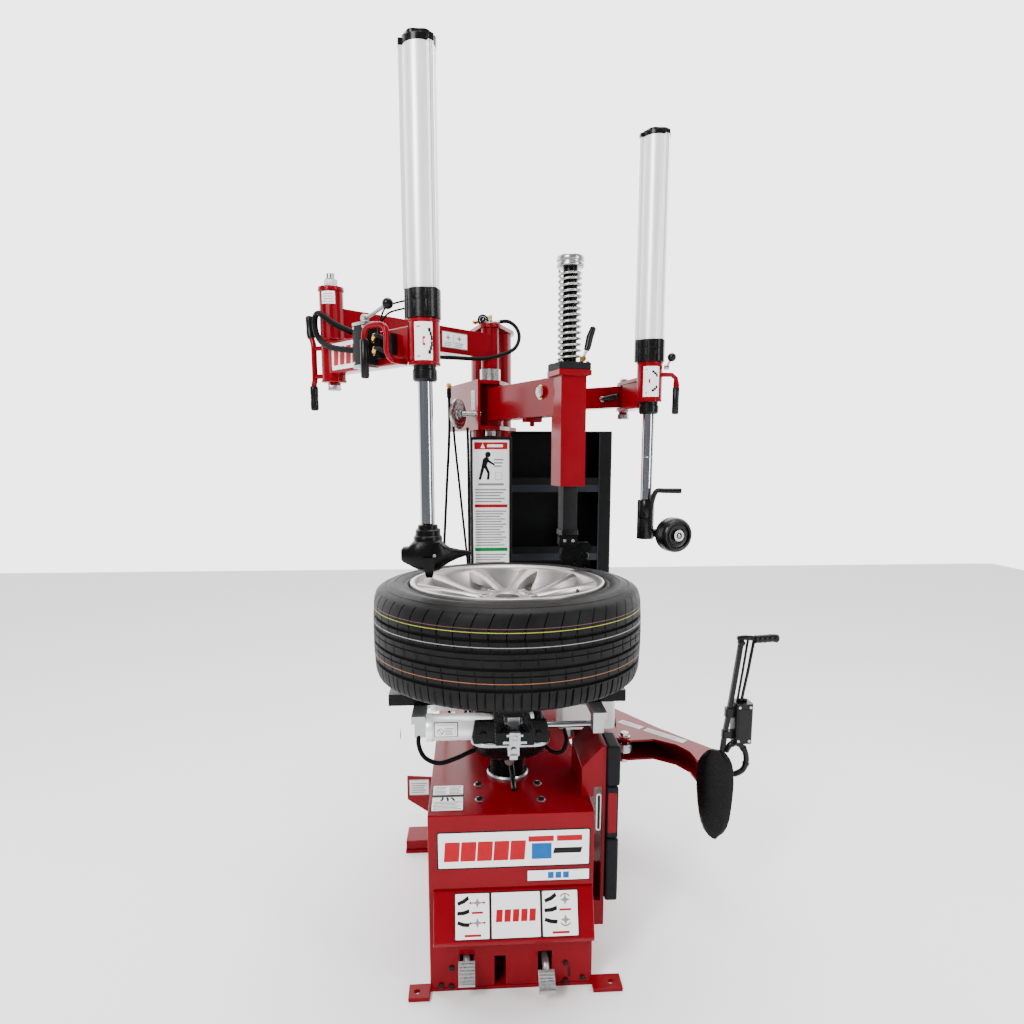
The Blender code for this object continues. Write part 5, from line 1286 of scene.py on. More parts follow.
    # thick hose from the valve box round to the arm tip
    hook = smooth_path(shifted((x, y, foot_z), (0.01, -0.004, 0.03), (0.022, -0.006, 0.05),
                               (0.042, -0.008, 0.052), (0.06, -0.01, 0.034), (0.067, -0.01, 0.002),
                               (0.058, -0.008, -0.026), (0.036, -0.004, -0.04)), 8)
    parts = [sweep(hook, 0.008, 18)]
    for k in (10, 22, 34):
        at, ahead = hook[k], hook[k + 1]
        parts.append(turned([(0, -0.003), (0.0098, -0.003), (0.0098, 0.003), (0, 0.003)], at, ahead - at, 18,
                            0))
    piece("breaker_hose", parts, "plastic", "breaker", smooth=50, slot="black_plastic")
    blade()


breaker()


# ---------------------------------------------------------------- pedals
def pedals():
    """Two ribbed pads on their bent arms."""
    # side view of each pad: (y, z) of its top and bottom edge; the right pad is pressed lower
    for side, top_edge, low_edge in (("left", (-0.236, 0.094), (-0.27, 0.052)),
                                     ("right", (-0.246, 0.072), (-0.286, 0.0405))):
        lo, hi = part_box("pedal_" + side)
        pivot = joint_at(f"pedal_{side}_hinge")
        x, w = (lo.x + hi.x) / 2, (hi.x - lo.x) / 2 - 0.0006
        top, bottom = Vector((x, *top_edge)), Vector((x, *low_edge))
        run = (bottom - top).normalized()
        out = X.cross(run)
        out = out if out.y < 0 else -out
        length = (bottom - top).length
        rows = [top + run * s + out * rise for s, rise in ((0.0, -0.005), (0.001, -0.001), (0.004, 0.0),
                                                           (length - 0.003, 0.0), (length, -0.003))]
        points = []
        for p in rows + [q - out * 0.005 for q in reversed(rows)]:
            points += [p - Vector((w, 0, 0)), p + Vector((w, 0, 0))]
        m = len(rows) * 2
        faces = [(2 * i, 2 * ((i + 1) % m), 2 * ((i + 1) % m) + 1, 2 * i + 1) for i in range(m)]
        faces += [tuple(2 * i for i in range(m)), tuple(2 * i + 1 for i in reversed(range(m)))]
        # folded bottom edge, ribs and the arm back to its pivot
        parts = [(points, faces, 0), block((x - w, bottom.y + 0.0005, bottom.z - 0.0005),
                                           (x + w, bottom.y + 0.016, bottom.z + 0.005), 0)]
        for k in range(7):
            at = top + run * (0.007 + (length - 0.012) * k / 6) + out * 0.0009
            parts.append(sweep([at - Vector((w - 0.002, 0, 0)), at + Vector((w - 0.002, 0, 0))], 0.0016, 8,
                               1))
        behind = top - out * 0.006
        arm = smooth_path([(x, pivot.y, pivot.z), (x, -0.15, 0.064), (x, -0.205, 0.078),
                           (x, behind.y + 0.01, max(behind.z, 0.076)), (x, behind.y, behind.z - 0.004)], 6)
        parts += [sweep(arm, 0.0085, 16, 0), turned([(0, -w), (0.013, -w), (0.013, w), (0, w)], pivot, X, 24,
                                                    0)]
        stand_in("pedal_" + side, f"pedal_{side}_plate", parts, ["steel", "zinc"], bevel=0.0005, smooth=40)


pedals()


# ---------------------------------------------------------------- body: pads, deck, bolts and decals
def body_details():
    x0, x1 = SHELL[0].x, SHELL[1].x
    front = FRONT
    # red insert in the middle pad, on its side and on its front
    lo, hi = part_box("pad_mid")
    parts = [slab(round_box(hi.y - lo.y - 0.018, hi.z - lo.z - 0.02, 0.006, 4),
                  (hi.x + 0.0004, lo.y + 0.009, lo.z + 0.01), Y, UP, -0.0012),
             slab(round_box(hi.x - lo.x - 0.008, hi.z - lo.z - 0.028, 0.004, 4),
                  (lo.x + 0.003, lo.y - 0.0008, lo.z + 0.014), X, UP, -0.0012)]
    piece("pad_insert", parts, "red", "base", bevel=0.0004, slot="rubber_pad")
    # long slot with a bright lip near the front edge of the side plate; its inside is a flat black sheet of
    # painted shade
    lo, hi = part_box("side_wall_plate")
    at = Vector((hi.x - 0.024, lo.y - 0.0003, lo.z + 0.255))
    parts = [slab(round_box(0.012, 0.096, 0.0058, 6), at, X, UP, 0.0006, 0),
             slab(round_box(0.0062, 0.088, 0.003, 6), at + Vector((0.0034, -0.0004, 0.004)), X, UP, 0.0004,
                  1)]
    piece("side_slot", parts, ["zinc", "ink"], "base", slot="black_plastic")
    # deck bolts
    parts = []
    for x, y in ((-0.078, -0.07), (-0.076, -0.147), (0.072, -0.073), (0.073, -0.156)):
        parts += [rounded_disc(0.0108, 0.002, 0.0008, (x, y, DECK), UP, 24, 2),
                  rounded_disc(0.0078, 0.0075, 0.0028, (x, y, DECK), UP, 24, 0)]
    for x, y in ((-0.15, 0.33), (0.06, 0.33), (-0.15, 0.42), (0.06, 0.42)):
        parts += bolt(0.007, (x, y, DECK), UP, 1)
    piece("deck_bolts", parts, ["plastic", "zinc", "steel"], "base")
    # front bolts, and the slit as a flat black sheet of painted shade
    parts = [rounded_disc(0.0068, 0.004, 0.0016, (x, front, z), TO_FRONT, 20, 0)
             for x, z in ((-0.146, 0.062), (-0.171, 0.017), (-0.147, 0.014), (0.128, 0.063), (0.129, 0.016),
                          (0.17, 0.022))]
    piece("front_bolts", parts, "plastic", "base")
    piece("front_slit", [slab(round_box(0.0045, 0.027, 0.0021, 4), (0.135, front - 0.0003, 0.024), X, UP,
                              0.0005)],
          "ink", "base", slot="black_plastic")
    # square tube foot above the left tab
    a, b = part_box("base_frame")
    foot = block((x0 - 0.11, 0.384, b.z + 0.0002), (x0 - 0.0004, 0.474, b.z + 0.03))
    piece("side_foot", [foot], "red", "base", bevel=0.003, slot="red_paint")

    # decals on the front: generic blocks only
    wide = Label("front_sign", "base", (x0 + 0.0205, front, 0.3175), X, UP, 0.361, 0.0945, frame_ink="ink",
                 radius=0.004, edge=0.0036)
    for k in range(5):
        u = 0.0165 + 0.0385 * k
        wide.shape(shifted((u, 0), (0, 0.0195), (0.0335, 0.0195), (0.035, 0.0215), (0.038, 0.066),
                           (0.0365, 0.0685), (0.004, 0.0685), (0.0025, 0.0665), (-0.0005, 0.0215)), "red_ink")
    for k in range(2):
        wide.bar(0.214 + 0.067 * k, 0.064, 0.06, 0.014, "red_ink")
    wide.bar(0.222, 0.02, 0.047, 0.04, "blue_ink")
    wide.shape([(0.272, 0.033), (0.338, 0.033), (0.342, 0.047), (0.276, 0.047)], "ink")
    wide.build()
    small = Label("front_badge", "base", (x1 - 0.159, front, 0.28), X, UP, 0.15, 0.03, frame_ink="ink",
                  radius=0.002)
    for k in range(3):
        small.bar(0.05 + 0.018 * k, 0.007, 0.014, 0.016, "blue_ink")
    small.build()

    # control panel: three plates on its upper slope, in one black frame
    lo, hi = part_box("control_panel")
    top, low_edge = Vector((0, front - 0.006, hi.z)), Vector((0, lo.y, 0.158))
    up = (top - low_edge).normalized()
    tall = (top - low_edge).length - 0.01
    for name, a, w, kind in (("panel_left", 0.0485, 0.084, 1), ("panel_mid", 0.133, 0.119, 0),
                             ("panel_right", 0.2525, 0.088, 2)):
        sign = Label(name, "base", low_edge + Vector((lo.x + a, 0, 0)) + up * 0.006, X, up, w, tall,
                     ("white",), frame_ink="ink", edge=0.0026)
        if kind == 0:
            for k in range(5):
                sign.shape([(0.012 + 0.0195 * k, tall * 0.36), (0.027 + 0.0195 * k, tall * 0.36),
                            (0.029 + 0.0195 * k, tall * 0.62), (0.014 + 0.0195 * k, tall * 0.62)], "red_ink")
        else:
            for v, angle in ((0.82, 22), (0.58, 4), (0.34, -18)):
                sign.lever(w * 0.25, tall * v, w * 0.34, angle)
            for v in (0.78, 0.36):
                sign.star(w * 0.64, tall * v, w * 0.27)
                for way in (-1, 1):
                    if kind == 1:
                        sign.arrow(w * (0.64 + 0.17 * way), tall * v, w * 0.13, way)
                    else:
                        sign.arc(w * 0.64, tall * v, w * 0.16, 1 if v > 0.5 else -1)
            sign.bar(w * 0.48, tall * 0.55, w * 0.32, tall * 0.045, "red_ink")
            sign.bar(w * 0.28, tall * 0.075, w * 0.46, tall * 0.05, "red_ink")
        sign.build()
    # left side card
    card = Label("side_card_label", "base", (low("side_placard").x + 0.005, low("side_placard").y, 0.396), X,
                 UP, 0.052, 0.044, ("pale",), frame_ink="grey_ink", radius=0.002)
    card.lines(0.006, 0.006, 0.04, 0.03, 5, "grey_ink")
    card.build()
    # two-part label lying on the deck at its left edge
    deck = Label("deck_label", "base", (x0 + 0.006, -0.196, DECK), X, Y, 0.078, 0.128, ("white",),
                 frame_ink="ink", radius=0.003)
    deck.bar(0.002, 0.066, 0.074, 0.012, "ink")
    deck.lines(0.006, 0.006, 0.066, 0.04, 6, "grey_ink")
    for k, angle in enumerate((70, 90, 110)):
        deck.lever(0.026 + 0.013 * k, 0.056, 0.018, angle)
    deck.lines(0.006, 0.08, 0.03, 0.042, 6, "grey_ink")
    deck.lines(0.042, 0.08, 0.03, 0.042, 6, "grey_ink")
    deck.build()


body_details()


# ---------------------------------------------------------------- column: sign, regulator, stop and fittings
def column_details():
    lo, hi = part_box("column")
    w, tall = hi.x - lo.x - 0.014, 0.42
    sign = Label("column_sign", "base", (lo.x + 0.006, lo.y, hi.z - 0.008 - tall), X, UP, w, tall, ("white",),
                 frame_ink="steel", lift=0.001)
    sign.bar(0.006, tall - 0.03, w - 0.012, 0.022, "red_ink")
    sign.shape([(w * 0.22, tall - 0.026), (w * 0.34, tall - 0.026), (w * 0.28, tall - 0.012)], "white",
               COUNTER_RISE)
    sign.bar(w * 0.4, tall - 0.023, w * 0.42, 0.008, "white", rise=COUNTER_RISE)
    # pictogram: a bent figure beside a crate
    cu, cv = w * 0.42, tall - 0.046
    sign.shape([(cu + 0.009 * math.cos(math.pi * k / 6),
                 cv + 0.009 * math.sin(math.pi * k / 6)) for k in range(12)], "ink")
    sign.shape(shifted((cu, cv), (-0.02, -0.036), (-0.006, -0.04), (0.004, -0.012), (-0.006, -0.006),
                       (-0.016, -0.014)), "ink")
    sign.shape(shifted((cu, cv), (-0.02, -0.036), (-0.03, -0.078), (-0.022, -0.078), (-0.01, -0.038)), "ink")
    sign.shape(shifted((cu, cv), (-0.014, -0.036), (-0.002, -0.058), (-0.004, -0.078), (0.004, -0.078),
                       (0.006, -0.056), (-0.004, -0.034)), "ink")
    sign.shape(shifted((cu, cv), (0.0, -0.014), (0.022, -0.03), (0.019, -0.034), (-0.004, -0.022)), "ink")
    sign.lines(w * 0.58, tall - 0.086, w * 0.26, 0.03, 3, "grey_ink")
    for u, v, a, b in ((0.022, -0.078, 0.022, 0.0012), (0.022, -0.057, 0.022, 0.0012),
                       (0.022, -0.078, 0.0012, 0.022), (0.0428, -0.078, 0.0012, 0.022)):
        sign.bar(cu + u, cv + v, a, b, "grey_ink")
    sign.bar(0.018, tall - 0.142, w - 0.036, 0.007, "grey_ink")
    sign.lines(0.008, tall - 0.196, w - 0.018, 0.046, 5, "grey_ink")
    sign.bar(0.006, tall - 0.211, w - 0.012, 0.01, "red_ink")
    sign.lines(0.008, tall - 0.334, w - 0.018, 0.116, 14, "grey_ink")
    sign.bar(0.006, tall - 0.35, w - 0.012, 0.011, "green_ink")
    sign.lines(0.008, tall - 0.414, w - 0.018, 0.058, 7, "grey_ink")
    sign.build()

    # big stop plate with its threaded shaft, left of the bracket
    at, facing = STOP, Vector((0.875, -0.485, 0)).normalized()
    parts = [turned([(0, -0.0042), (0.044, -0.0042), (0.0462, -0.003), (0.0466, 0.0), (0.0462, 0.0034),
                     (0.044, 0.005), (0.033, 0.0058), (0.031, 0.0042), (0.019, 0.0042), (0.017, 0.0056),
                     (0, 0.0056)], at, facing, 48, 0),
             hexagon(0.0125, 0.01, at + facing * 0.005, facing, 0),
             sweep([at + X * 0.001, at + X * 0.0705], 0.0082, 20, 0, rounded=False),
             hexagon(0.013, 0.009, at + X * 0.058, X, 0)]
    piece("stop_plate", parts, "zinc", "base", bevel=0.0004)
    tag_at, tag_run = Vector((-0.085, 0.5088, 1.412)), Vector((0.332, -0.943, 0))
    tag = Label("bracket_label", "base", tag_at, tag_run, UP, 0.034, 0.062, ("pale",), frame_ink="grey_ink",
                radius=0.002)
    tag.lines(0.004, 0.004, 0.024, 0.052, 8, "grey_ink")
    tag.build()
    a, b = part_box("arm_bracket")
    fitting = Vector((at.x - 0.026, at.y - 0.03, b.z - 0.026))
    parts = [hexagon(0.0085, 0.009, fitting, UP, 0), rounded_disc(0.0055, 0.018, 0.001, fitting - UP * 0.006,
                                                                  UP, 16, 0),
             sweep([fitting - UP * 0.03, fitting - UP * 0.004], 0.0066, 16, 1)]
    piece("line_fitting", parts, ["brass", "hose"], "base")
    nut = PIVOT + UP * 1.6638
    parts = [hexagon(0.018, 0.015, nut + UP * 0.0012, UP, 0), rounded_disc(0.026, 0.003, 0.001, nut, UP, 36,
                                                                           0)]
    piece("pivot_nut", parts, "zinc", "base", bevel=0.0005)


def regulator():
    """Gauge with its dial, housing, filter and fittings."""
    lo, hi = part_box("air_regulator")
    c = (lo + hi) / 2
    gauge = Vector((lo.x + 0.031, lo.y + 0.01, c.z - 0.0005))
    r = 0.0166
    start = gauge - TO_FRONT * 0.01
    parts = [turned([(0, 0), (r - 0.002, 0), (r, 0.002), (r, 0.016), (r - 0.001, 0.0175),
                     (r - 0.0022, 0.0175), (r - 0.0024, 0.016), (0, 0.016)], start, TO_FRONT, 40, 0),
             turned([(0, 0.016), (r - 0.0026, 0.016), (r - 0.0026, 0.0164), (0, 0.0164)], start, TO_FRONT, 32,
                    2)]
    face = start + TO_FRONT * 0.0165
    for k in range(11):
        ang = math.radians(-40 + 260 * k / 10)
        out = Vector((math.cos(ang), 0, math.sin(ang)))
        parts.append(sweep([face + out * 0.0085, face + out * 0.0115], 0.0006, 6, 1, rounded=False))
    parts.append(slab([(-0.002, -0.0008), (0.009, 0), (-0.002, 0.0008)], face, (0.5, 0, 0.86),
                      (-0.86, 0, 0.5), 0.0003, 1))
    y = gauge.y + 0.014
    parts += [block((lo.x + 0.022, y - 0.006, lo.z + 0.001), (lo.x + 0.05, y + 0.022, hi.z - 0.004), 4),
              sweep([Vector((lo.x + 0.001, y, c.z - 0.004)), Vector((lo.x + 0.024, y, c.z - 0.004))], 0.0058,
                    18, 5),
              hexagon(0.0085, 0.007, (lo.x + 0.004, y, c.z - 0.004), X, 5),
              sweep([Vector((lo.x + 0.056, y - 0.002, lo.z + 0.002)),
                     Vector((lo.x + 0.056, y - 0.002, hi.z - 0.001))], 0.0055, 18, 5),
              hexagon(0.008, 0.007, (lo.x + 0.056, y - 0.002, lo.z + 0.012), UP, 5),
              sweep([Vector((lo.x + 0.05, y, c.z - 0.005)), Vector((hi.x - 0.004, y, c.z - 0.005))], 0.006,
                    18, 4),
              hexagon(0.0086, 0.01, (hi.x - 0.018, y, c.z - 0.005), X, 4)]
    stand_in("air_regulator", "regulator", parts, ["plastic", "white", "ink", "red_ink", "steel", "brass"],
             bevel=0.0005)


column_details()
regulator()


# ---------------------------------------------------------------- storage cabinet lips
def storage():
    """Front lips of the shelves and edges of the right post; its slots are black patches of painted shade."""
    lo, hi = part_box("storage_cabinet")
    parts = []
    for z0, z1 in ((1.144, 1.194), (0.899, 0.949)):
        parts.append(slab([(0, 0), (hi.x - lo.x - 0.05, 0), (hi.x - lo.x - 0.05, 0.5 * (z1 - z0)),
                           (0, 0.5 * (z1 - z0))],
                          (lo.x + 0.003, lo.y + 0.0006, z0), X, UP, 0.001, 0))
    for x in (hi.x - 0.0455, hi.x - 0.0045):
        parts.append(slab([(0, 0), (0.0035, 0), (0.0035, hi.z - lo.z - 0.006), (0, hi.z - lo.z - 0.006)],
                          (x, lo.y + 0.0004, lo.z + 0.003), X, UP, 0.0008, 0))
    # slots of the right post: black patches of painted shade in place of holes
    for k in range(6):
        for x in (hi.x - 0.034, hi.x - 0.014):
            parts.append(slab(round_box(0.006, 0.016, 0.0028, 4), (x, lo.y - 0.0004, lo.z + 0.06 + 0.115 * k),
                              X, UP, 0.0004, 1))
    piece("storage_lips", parts, ["shelf", "ink"], "base", bevel=0.0004, slot="black_paint")


storage()


# ---------------------------------------------------------------- under the table
def under_table():
    # bowl of the table drive: smooth casting with a bright machined edge and a dark housing above it
    lo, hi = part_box("turntable_hub")

    def level(hx, hy, r, z, y=0.0):
        return [(u - hx, v - hy + y, z) for u, v in round_box(2 * hx, 2 * hy, r, 8)]

    bowl = [level(*row) for row in ((0.043, 0.043, 0.0429, DECK + 0.02), (0.046, 0.046, 0.0459, lo.z),
                                    (0.055, 0.062, 0.05, lo.z + 0.01), (0.074, 0.098, 0.058, lo.z + 0.028),
                                    (0.088, 0.132, 0.06, lo.z + 0.05), (0.094, 0.15, 0.055, lo.z + 0.078),
                                    (0.095, 0.157, 0.048, lo.z + 0.104))]
    flange = [level(0.094, 0.164, 0.04, lo.z + 0.0905), level(0.095, 0.169, 0.04, lo.z + 0.0925),
              level(0.095, 0.169, 0.04, lo.z + 0.101), level(0.094, 0.166, 0.04, lo.z + 0.103)]
    neck = [level(0.088, 0.06, 0.02, lo.z + 0.103), level(0.086, 0.056, 0.02, hi.z - 0.0006)]
    parts = [lofted(bowl), lofted(flange, 1), lofted(neck)]
    for s in (-1, 1):
        wall = [level(0.09, 0.011, 0.008, lo.z + 0.1, s * 0.152),
                level(0.093, 0.012, 0.008, lo.z + 0.118, s * 0.153),
                level(0.086, 0.01, 0.008, hi.z - 0.001, s * 0.15)]
        parts.append(lofted(wall))
        for x in (-0.066, 0.066):
            parts.append(rounded_disc(0.0085, 0.004, 0.0015, (x, s * 0.163, lo.z + 0.124), (0, s, 0), 20, 0))
        for x in (-0.036, 0.036):
            parts.append(lofted([[(px + x, py, pz) for px, py, pz in level(0.005, 0.004, 0.003, z, s * 0.164)]
                                 for z in (lo.z + 0.098, hi.z - 0.012)]))
    stand_in("turntable_hub", "drive_bowl", parts, ["cast", "steel"], bevel=0.0008, smooth=50)

    # front and rear jaws: dark head, narrow bright foot with a cross rib and a guide nose
    for name in ("jaw_front", "jaw_rear"):
        a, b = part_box(name)
        s = -1 if name == "jaw_front" else 1
        x0, x1, y0, y1 = a.x, b.x, a.y, b.y
        parts = [block((x0, y0, b.z - 0.016), (x1, y1, b.z), 0),
                 block((x0 + 0.012, y0 + 0.006, b.z - 0.026), (x1 - 0.012, y1 - 0.004, b.z - 0.014), 0),
                 block((x0 + 0.021, y0 + 0.004, a.z + 0.008), (x1 - 0.021, y1 - 0.004, b.z - 0.024), 1),
                 block((x0 + 0.012, y0 + 0.01, a.z + 0.036), (x1 - 0.012, y1 - 0.012, a.z + 0.05), 1),
                 block((x0 + 0.014, y0 + 0.01, a.z + 0.074), (x1 - 0.014, y1 - 0.012, a.z + 0.084), 1),
                 block((x0 + 0.025, y0 + 0.001, a.z), (x1 - 0.025, y1 - 0.001, a.z + 0.012), 1),
                 rounded_disc(0.0075, 0.005, 0.002, (0, y0 + 0.0045 if s < 0 else y1 - 0.0045, a.z + 0.022),
                              (0, s, 0), 20, 1)]
        stand_in(name, name + "_casting", parts, ["cast", "steel"], bevel=0.0022, levels=3)

    # bright guide nose on the front and rear arms of the table
    a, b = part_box("table_plate")
    for s, y in ((-1, a.y), (1, b.y)):
        inner = y - s * 0.008
        near, far = min(y + s * 0.0012, inner), max(y + s * 0.0012, inner)
        nose = [block((-0.012, near, a.z + 0.0005), (0.012, far, b.z - 0.0005), 0),
                block((-0.026, near + 0.0005, a.z + 0.004), (0.026, far - 0.0005, a.z + 0.01), 0),
                block((-0.018, near + 0.0005, b.z - 0.01), (0.018, far - 0.0005, b.z - 0.0045), 0),
                rounded_disc(0.0065, 0.003, 0.001, (0, y + s * 0.0006, a.z + 0.017), (0, s, 0), 20, 0)]
        piece("table_nose_front" if s < 0 else "table_nose_rear", nose, "steel", "turntable", bevel=0.0012)

    # round plug and the lever hanging to the deck
    plug_at = Vector((0.0, -0.078, lo.z + 0.022))
    plug = [turned([(0, 0), (0.0125, 0), (0.0125, 0.008), (0.0105, 0.0095), (0.01, 0.0125), (0.006, 0.0128),
                    (0.0055, 0.011), (0, 0.011)], plug_at, (0, -0.85, -0.2), 28, 0)]
    piece("bowl_plug", plug, "steel", "turntable")
    lever = [sweep(smooth_path(shifted((0, 0, DECK), (0.006, -0.048, 0.046), (0.008, -0.066, 0.032),
                                       (0.0095, -0.088, 0.012), (0.01, -0.112, 0.0065)), 6),
                   lambda s: 0.0072 - 0.001 * s, 14, 0)]
    piece("bowl_lever", lever, "plastic", "base", smooth=60, slot="black_plastic")
    parts = [closed_turned(shifted((0, DECK), (0.046, 0.0006), (0.054, 0.0006), (0.054, 0.004),
                                   (0.052, 0.006), (0.051, 0.01), (0.049, 0.0115), (0.046, 0.0115)),
                           (0, 0, 0), n=56)]
    piece("neck_ring", parts, "steel", "base", slot="cast_black")
    # the side jaws have a recess in their outer face, drawn as a flat dark triangle of painted shade
    for name, side in (("jaw_right", 1), ("jaw_left", -1)):
        a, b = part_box(name)
        x = b.x if side > 0 else a.x
        face = [slab([(0.004, 0.001), (0.03, 0.001), (0.017, 0.026)],
                     (x + side * 0.0004, -0.115, a.z + 0.006), (0, side, 0), UP, 0.0004, 0)]
        piece(name + "_recess_painted_shade", face, "cast", "clamp_right" if side > 0 else "clamp_left")


under_table()


# ---------------------------------------------------------------- hoses
def hose(name, points, r, body=None, ends=None, span=8):
    """Rubber line; when ends=(parent, child) is given, its transform is baked into its mesh."""
    obj = piece(name, [sweep(smooth_path(points, span), r, 14)], "hose", body, smooth=60,
                slot="black_plastic")
    if ends:
        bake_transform(obj)


def hoses():
    lo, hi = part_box("air_regulator")
    gauge_y = lo.y + 0.024
    toward = (LEFT_HINGE - PIVOT).normalized()
    face = Vector((-toward.y, toward.x, 0))
    face = face if face.y < 0 else -face
    along = lambda s, n, z: PIVOT + toward * s + face * n + UP * z
    under = low("left_inner_arm").z + 0.1265
    # thick line from the regulator, round the column head and under the first link to the valve
    hose("feed_hose", [(hi.x - 0.004, gauge_y, hi.z - 0.02), (hi.x + 0.024, gauge_y - 0.004, hi.z - 0.02),
                       (hi.x + 0.048, gauge_y - 0.012, hi.z - 0.04), (hi.x + 0.056, gauge_y - 0.024,
                                                                      hi.z - 0.072),
                       (hi.x + 0.04, gauge_y - 0.045, hi.z - 0.108), (hi.x - 0.004, gauge_y - 0.075,
                                                                      hi.z - 0.132),
                       along(0.08, 0.04, under - 0.004), along(0.2, 0.038, under - 0.012),
                       along(0.34, 0.038, under - 0.02), along(0.46, 0.04, under - 0.028),
                       on_left(0.05, -0.036, under - 0.04), on_left(0.09, -0.034, under - 0.044)],
         0.0058, ends=("left_inner", "left_outer"))
    # thick loop from behind the outer link round the hinge tube into the valve block
    hose("valve_loop", left_points((0.13, -0.03, 1.559), (0.105, -0.004, 1.57), (0.07, 0.028, 1.59),
                                   (0.036, 0.044, 1.613), (0.012, 0.046, 1.624), (-0.002, 0.047, 1.614),
                                   (0.0, 0.048, 1.585), (0.024, 0.05, 1.557), (0.07, 0.052, 1.537),
                                   (0.13, 0.05, 1.525), (0.187, 0.046, 1.518)), 0.0072, "left_outer")
    # two thin lines from the valve up to the lift collar
    for k, (z, s) in enumerate(((1.612, 0.33), (1.596, 0.328))):
        hose(f"lift_line_{k}", left_points((0.24, 0.03 - 0.004 * k, 1.546), (0.242, 0.026, 1.566 + 0.004 * k),
                                           (0.254, 0.024, z - 0.014), (0.276, 0.02, z - 0.001),
                                           (s + 0.01, 0.02, z)),
             0.0022, "left_outer")
    # thin lines hanging from the stop fitting down to the deck, behind the wheel
    a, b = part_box("arm_bracket")
    top = Vector((STOP.x - 0.026, STOP.y - 0.03, b.z - 0.05))
    deck = DECK + 0.0015
    hose("drop_line_a", [top, top + Vector((-0.001, 0.004, -0.12)), top + Vector((-0.012, 0.01, -0.3)),
                         top + Vector((-0.026, 0.012, -0.56)), top + Vector((-0.03, 0.004, -0.8)),
                         (top.x - 0.012, top.y - 0.01, deck)], 0.0042, "base", span=6)
    hose("drop_line_b", [top + Vector((0.012, 0.01, -0.05)), top + Vector((0.014, 0.014, -0.12)),
                         top + Vector((0.034, 0.014, -0.33)), top + Vector((0.056, 0.012, -0.58)),
                         top + Vector((0.06, 0.004, -0.8)), (top.x + 0.054, top.y - 0.02, deck)],
         0.0038, "base", span=6)
    hose("drop_line_c", [(top.x + 0.055, top.y - 0.01, a.z + 0.004),
                         (top.x + 0.057, top.y - 0.01, a.z - 0.12), (top.x + 0.057, top.y - 0.012, a.z - 0.4),
                         (top.x + 0.056, top.y - 0.016, a.z - 0.66), (top.x + 0.04, top.y - 0.034, deck)],
         0.0042, "base", span=6)
    # loops beside the bowl: left one from the clamp cylinder, right one from the rear
    y, z = low("clamp_barrel_front").y, middle("clamp_barrel_front").z
    x = low("clamp_barrel_front").x
    hose("clamp_hose_left", shifted((x, y, z), (0.004, 0.05, -0.004), (-0.012, 0.03, -0.006),
                                    (-0.018, 0.014, -0.03), (-0.004, 0.004, -0.062), (0.03, 0.002, -0.078),
                                    (0.07, 0.016, -0.074), (0.106, 0.044, -0.07), (0.132, 0.054, -0.066)),
         0.0055, "turntable")
    hose("clamp_hose_right", shifted((0, y, z), (0.086, 0.06, -0.058), (0.104, 0.03, -0.068),
                                     (0.128, 0.02, -0.064), (0.14, 0.03, -0.04), (0.138, 0.056, -0.022)),
         0.005, "turntable")


hoses()


# ---------------------------------------------------------------- floor, light and camera
FLOOR_HALF = 6.0
CAMERA_AT = (-0.0939, -1.7328, 1.2824)
CAMERA_DOWN, CAMERA_TURN = 0.1526, -0.061    # radians below level, and away from straight ahead
LENS_MM, SENSOR_MM, LENS_SHIFT = 24.61, 36.0, 0.047
CLIP_NEAR, CLIP_FAR = 0.05, 50
GLOW_FROM, GLOW_TO = 0.0, 0.45                # the surroundings brighten between these Y directions
GLOW_LOW, GLOW_HIGH = 0.32, 3.8
KEY_WATTS, FILL_WATTS, TOP_WATTS = 175, 56, 140


def floor():
    mesh = bpy.data.meshes.new("floor")
    corners = [(x * FLOOR_HALF, y * FLOOR_HALF, 0) for x, y in ((-1, -1), (1, -1), (1, 1), (-1, 1))]
    mesh.from_pydata(corners, [], [(0, 1, 2, 3)])
    mesh.materials.append(material("floor_paper", (0.97, 0.97, 0.97), 0.85, tone=0.01, grain=3))
    obj = bpy.data.objects.new("floor", mesh)
    bpy.context.scene.collection.objects.link(obj)
    return obj


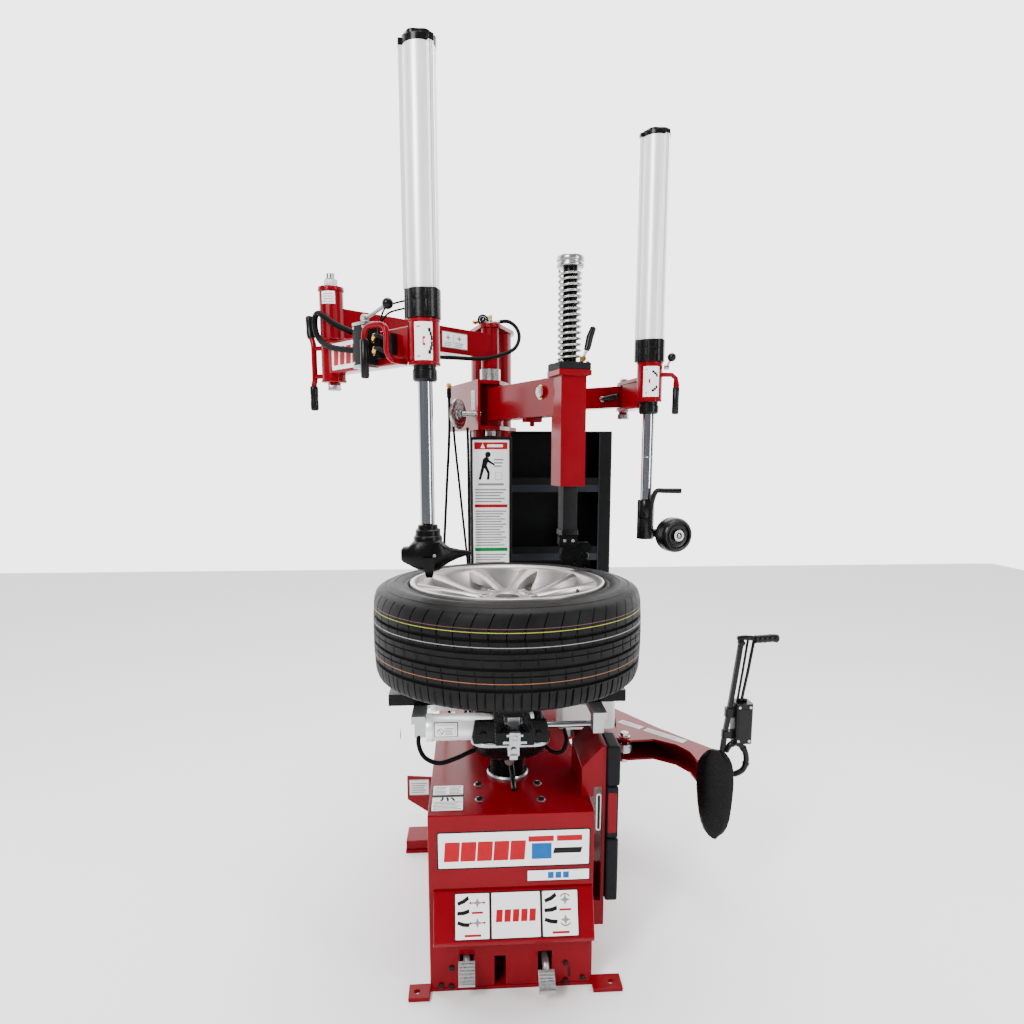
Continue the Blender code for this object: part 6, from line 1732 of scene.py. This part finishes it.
def area_light(name, at, target, size, power):
    """Rectangular lamp at a place, aimed at a target."""
    data = bpy.data.lights.new(name, "AREA")
    data.shape, data.size, data.size_y = "RECTANGLE", size[0], size[1]
    data.energy = power
    obj = bpy.data.objects.new(name, data)
    obj.location = at
    obj.rotation_euler = (Vector(target) - Vector(at)).to_track_quat("-Z", "Y").to_euler()
    bpy.context.scene.collection.objects.link(obj)
    return obj


def studio():
    """White surroundings behind the machine, darker in front of it, and three soft lamps."""
    lights = [area_light("key", (-2.0, -2.8, 3.2), (0, 0, 1.1), (1.0, 1.8), KEY_WATTS),
              area_light("fill", (2.6, -2.0, 1.8), (0, 0, 0.9), (0.5, 2.2), FILL_WATTS),
              area_light("top", (0.2, 0.2, 4.4), (0, 0, 0.8), (2.2, 2.2), TOP_WATTS)]
    world = bpy.data.worlds.new("studio")
    world.use_nodes = True
    tree = world.node_tree
    where = tree.nodes.new("ShaderNodeTexCoord")
    split = tree.nodes.new("ShaderNodeSeparateXYZ")
    ramp = tree.nodes.new("ShaderNodeMapRange")
    ramp.inputs["From Min"].default_value, ramp.inputs["From Max"].default_value = GLOW_FROM, GLOW_TO
    ramp.inputs["To Min"].default_value, ramp.inputs["To Max"].default_value = GLOW_LOW, GLOW_HIGH
    tree.links.new(where.outputs["Generated"], split.inputs["Vector"])
    tree.links.new(split.outputs["Y"], ramp.inputs["Value"])
    tree.links.new(ramp.outputs["Result"], tree.nodes["Background"].inputs["Strength"])
    tree.nodes["Background"].inputs["Color"].default_value = (1, 1, 1, 1)
    bpy.context.scene.world = world
    lens = bpy.data.cameras.new("camera")
    lens.lens, lens.sensor_width, lens.shift_y = LENS_MM, SENSOR_MM, LENS_SHIFT
    lens.clip_start, lens.clip_end = CLIP_NEAR, CLIP_FAR
    lens.dof.use_dof = False
    camera = bpy.data.objects.new("camera", lens)
    camera.location = CAMERA_AT
    camera.rotation_euler = (math.pi / 2 - CAMERA_DOWN, 0, CAMERA_TURN)
    bpy.context.scene.collection.objects.link(camera)
    bpy.context.scene.camera = camera
    floor()


studio()
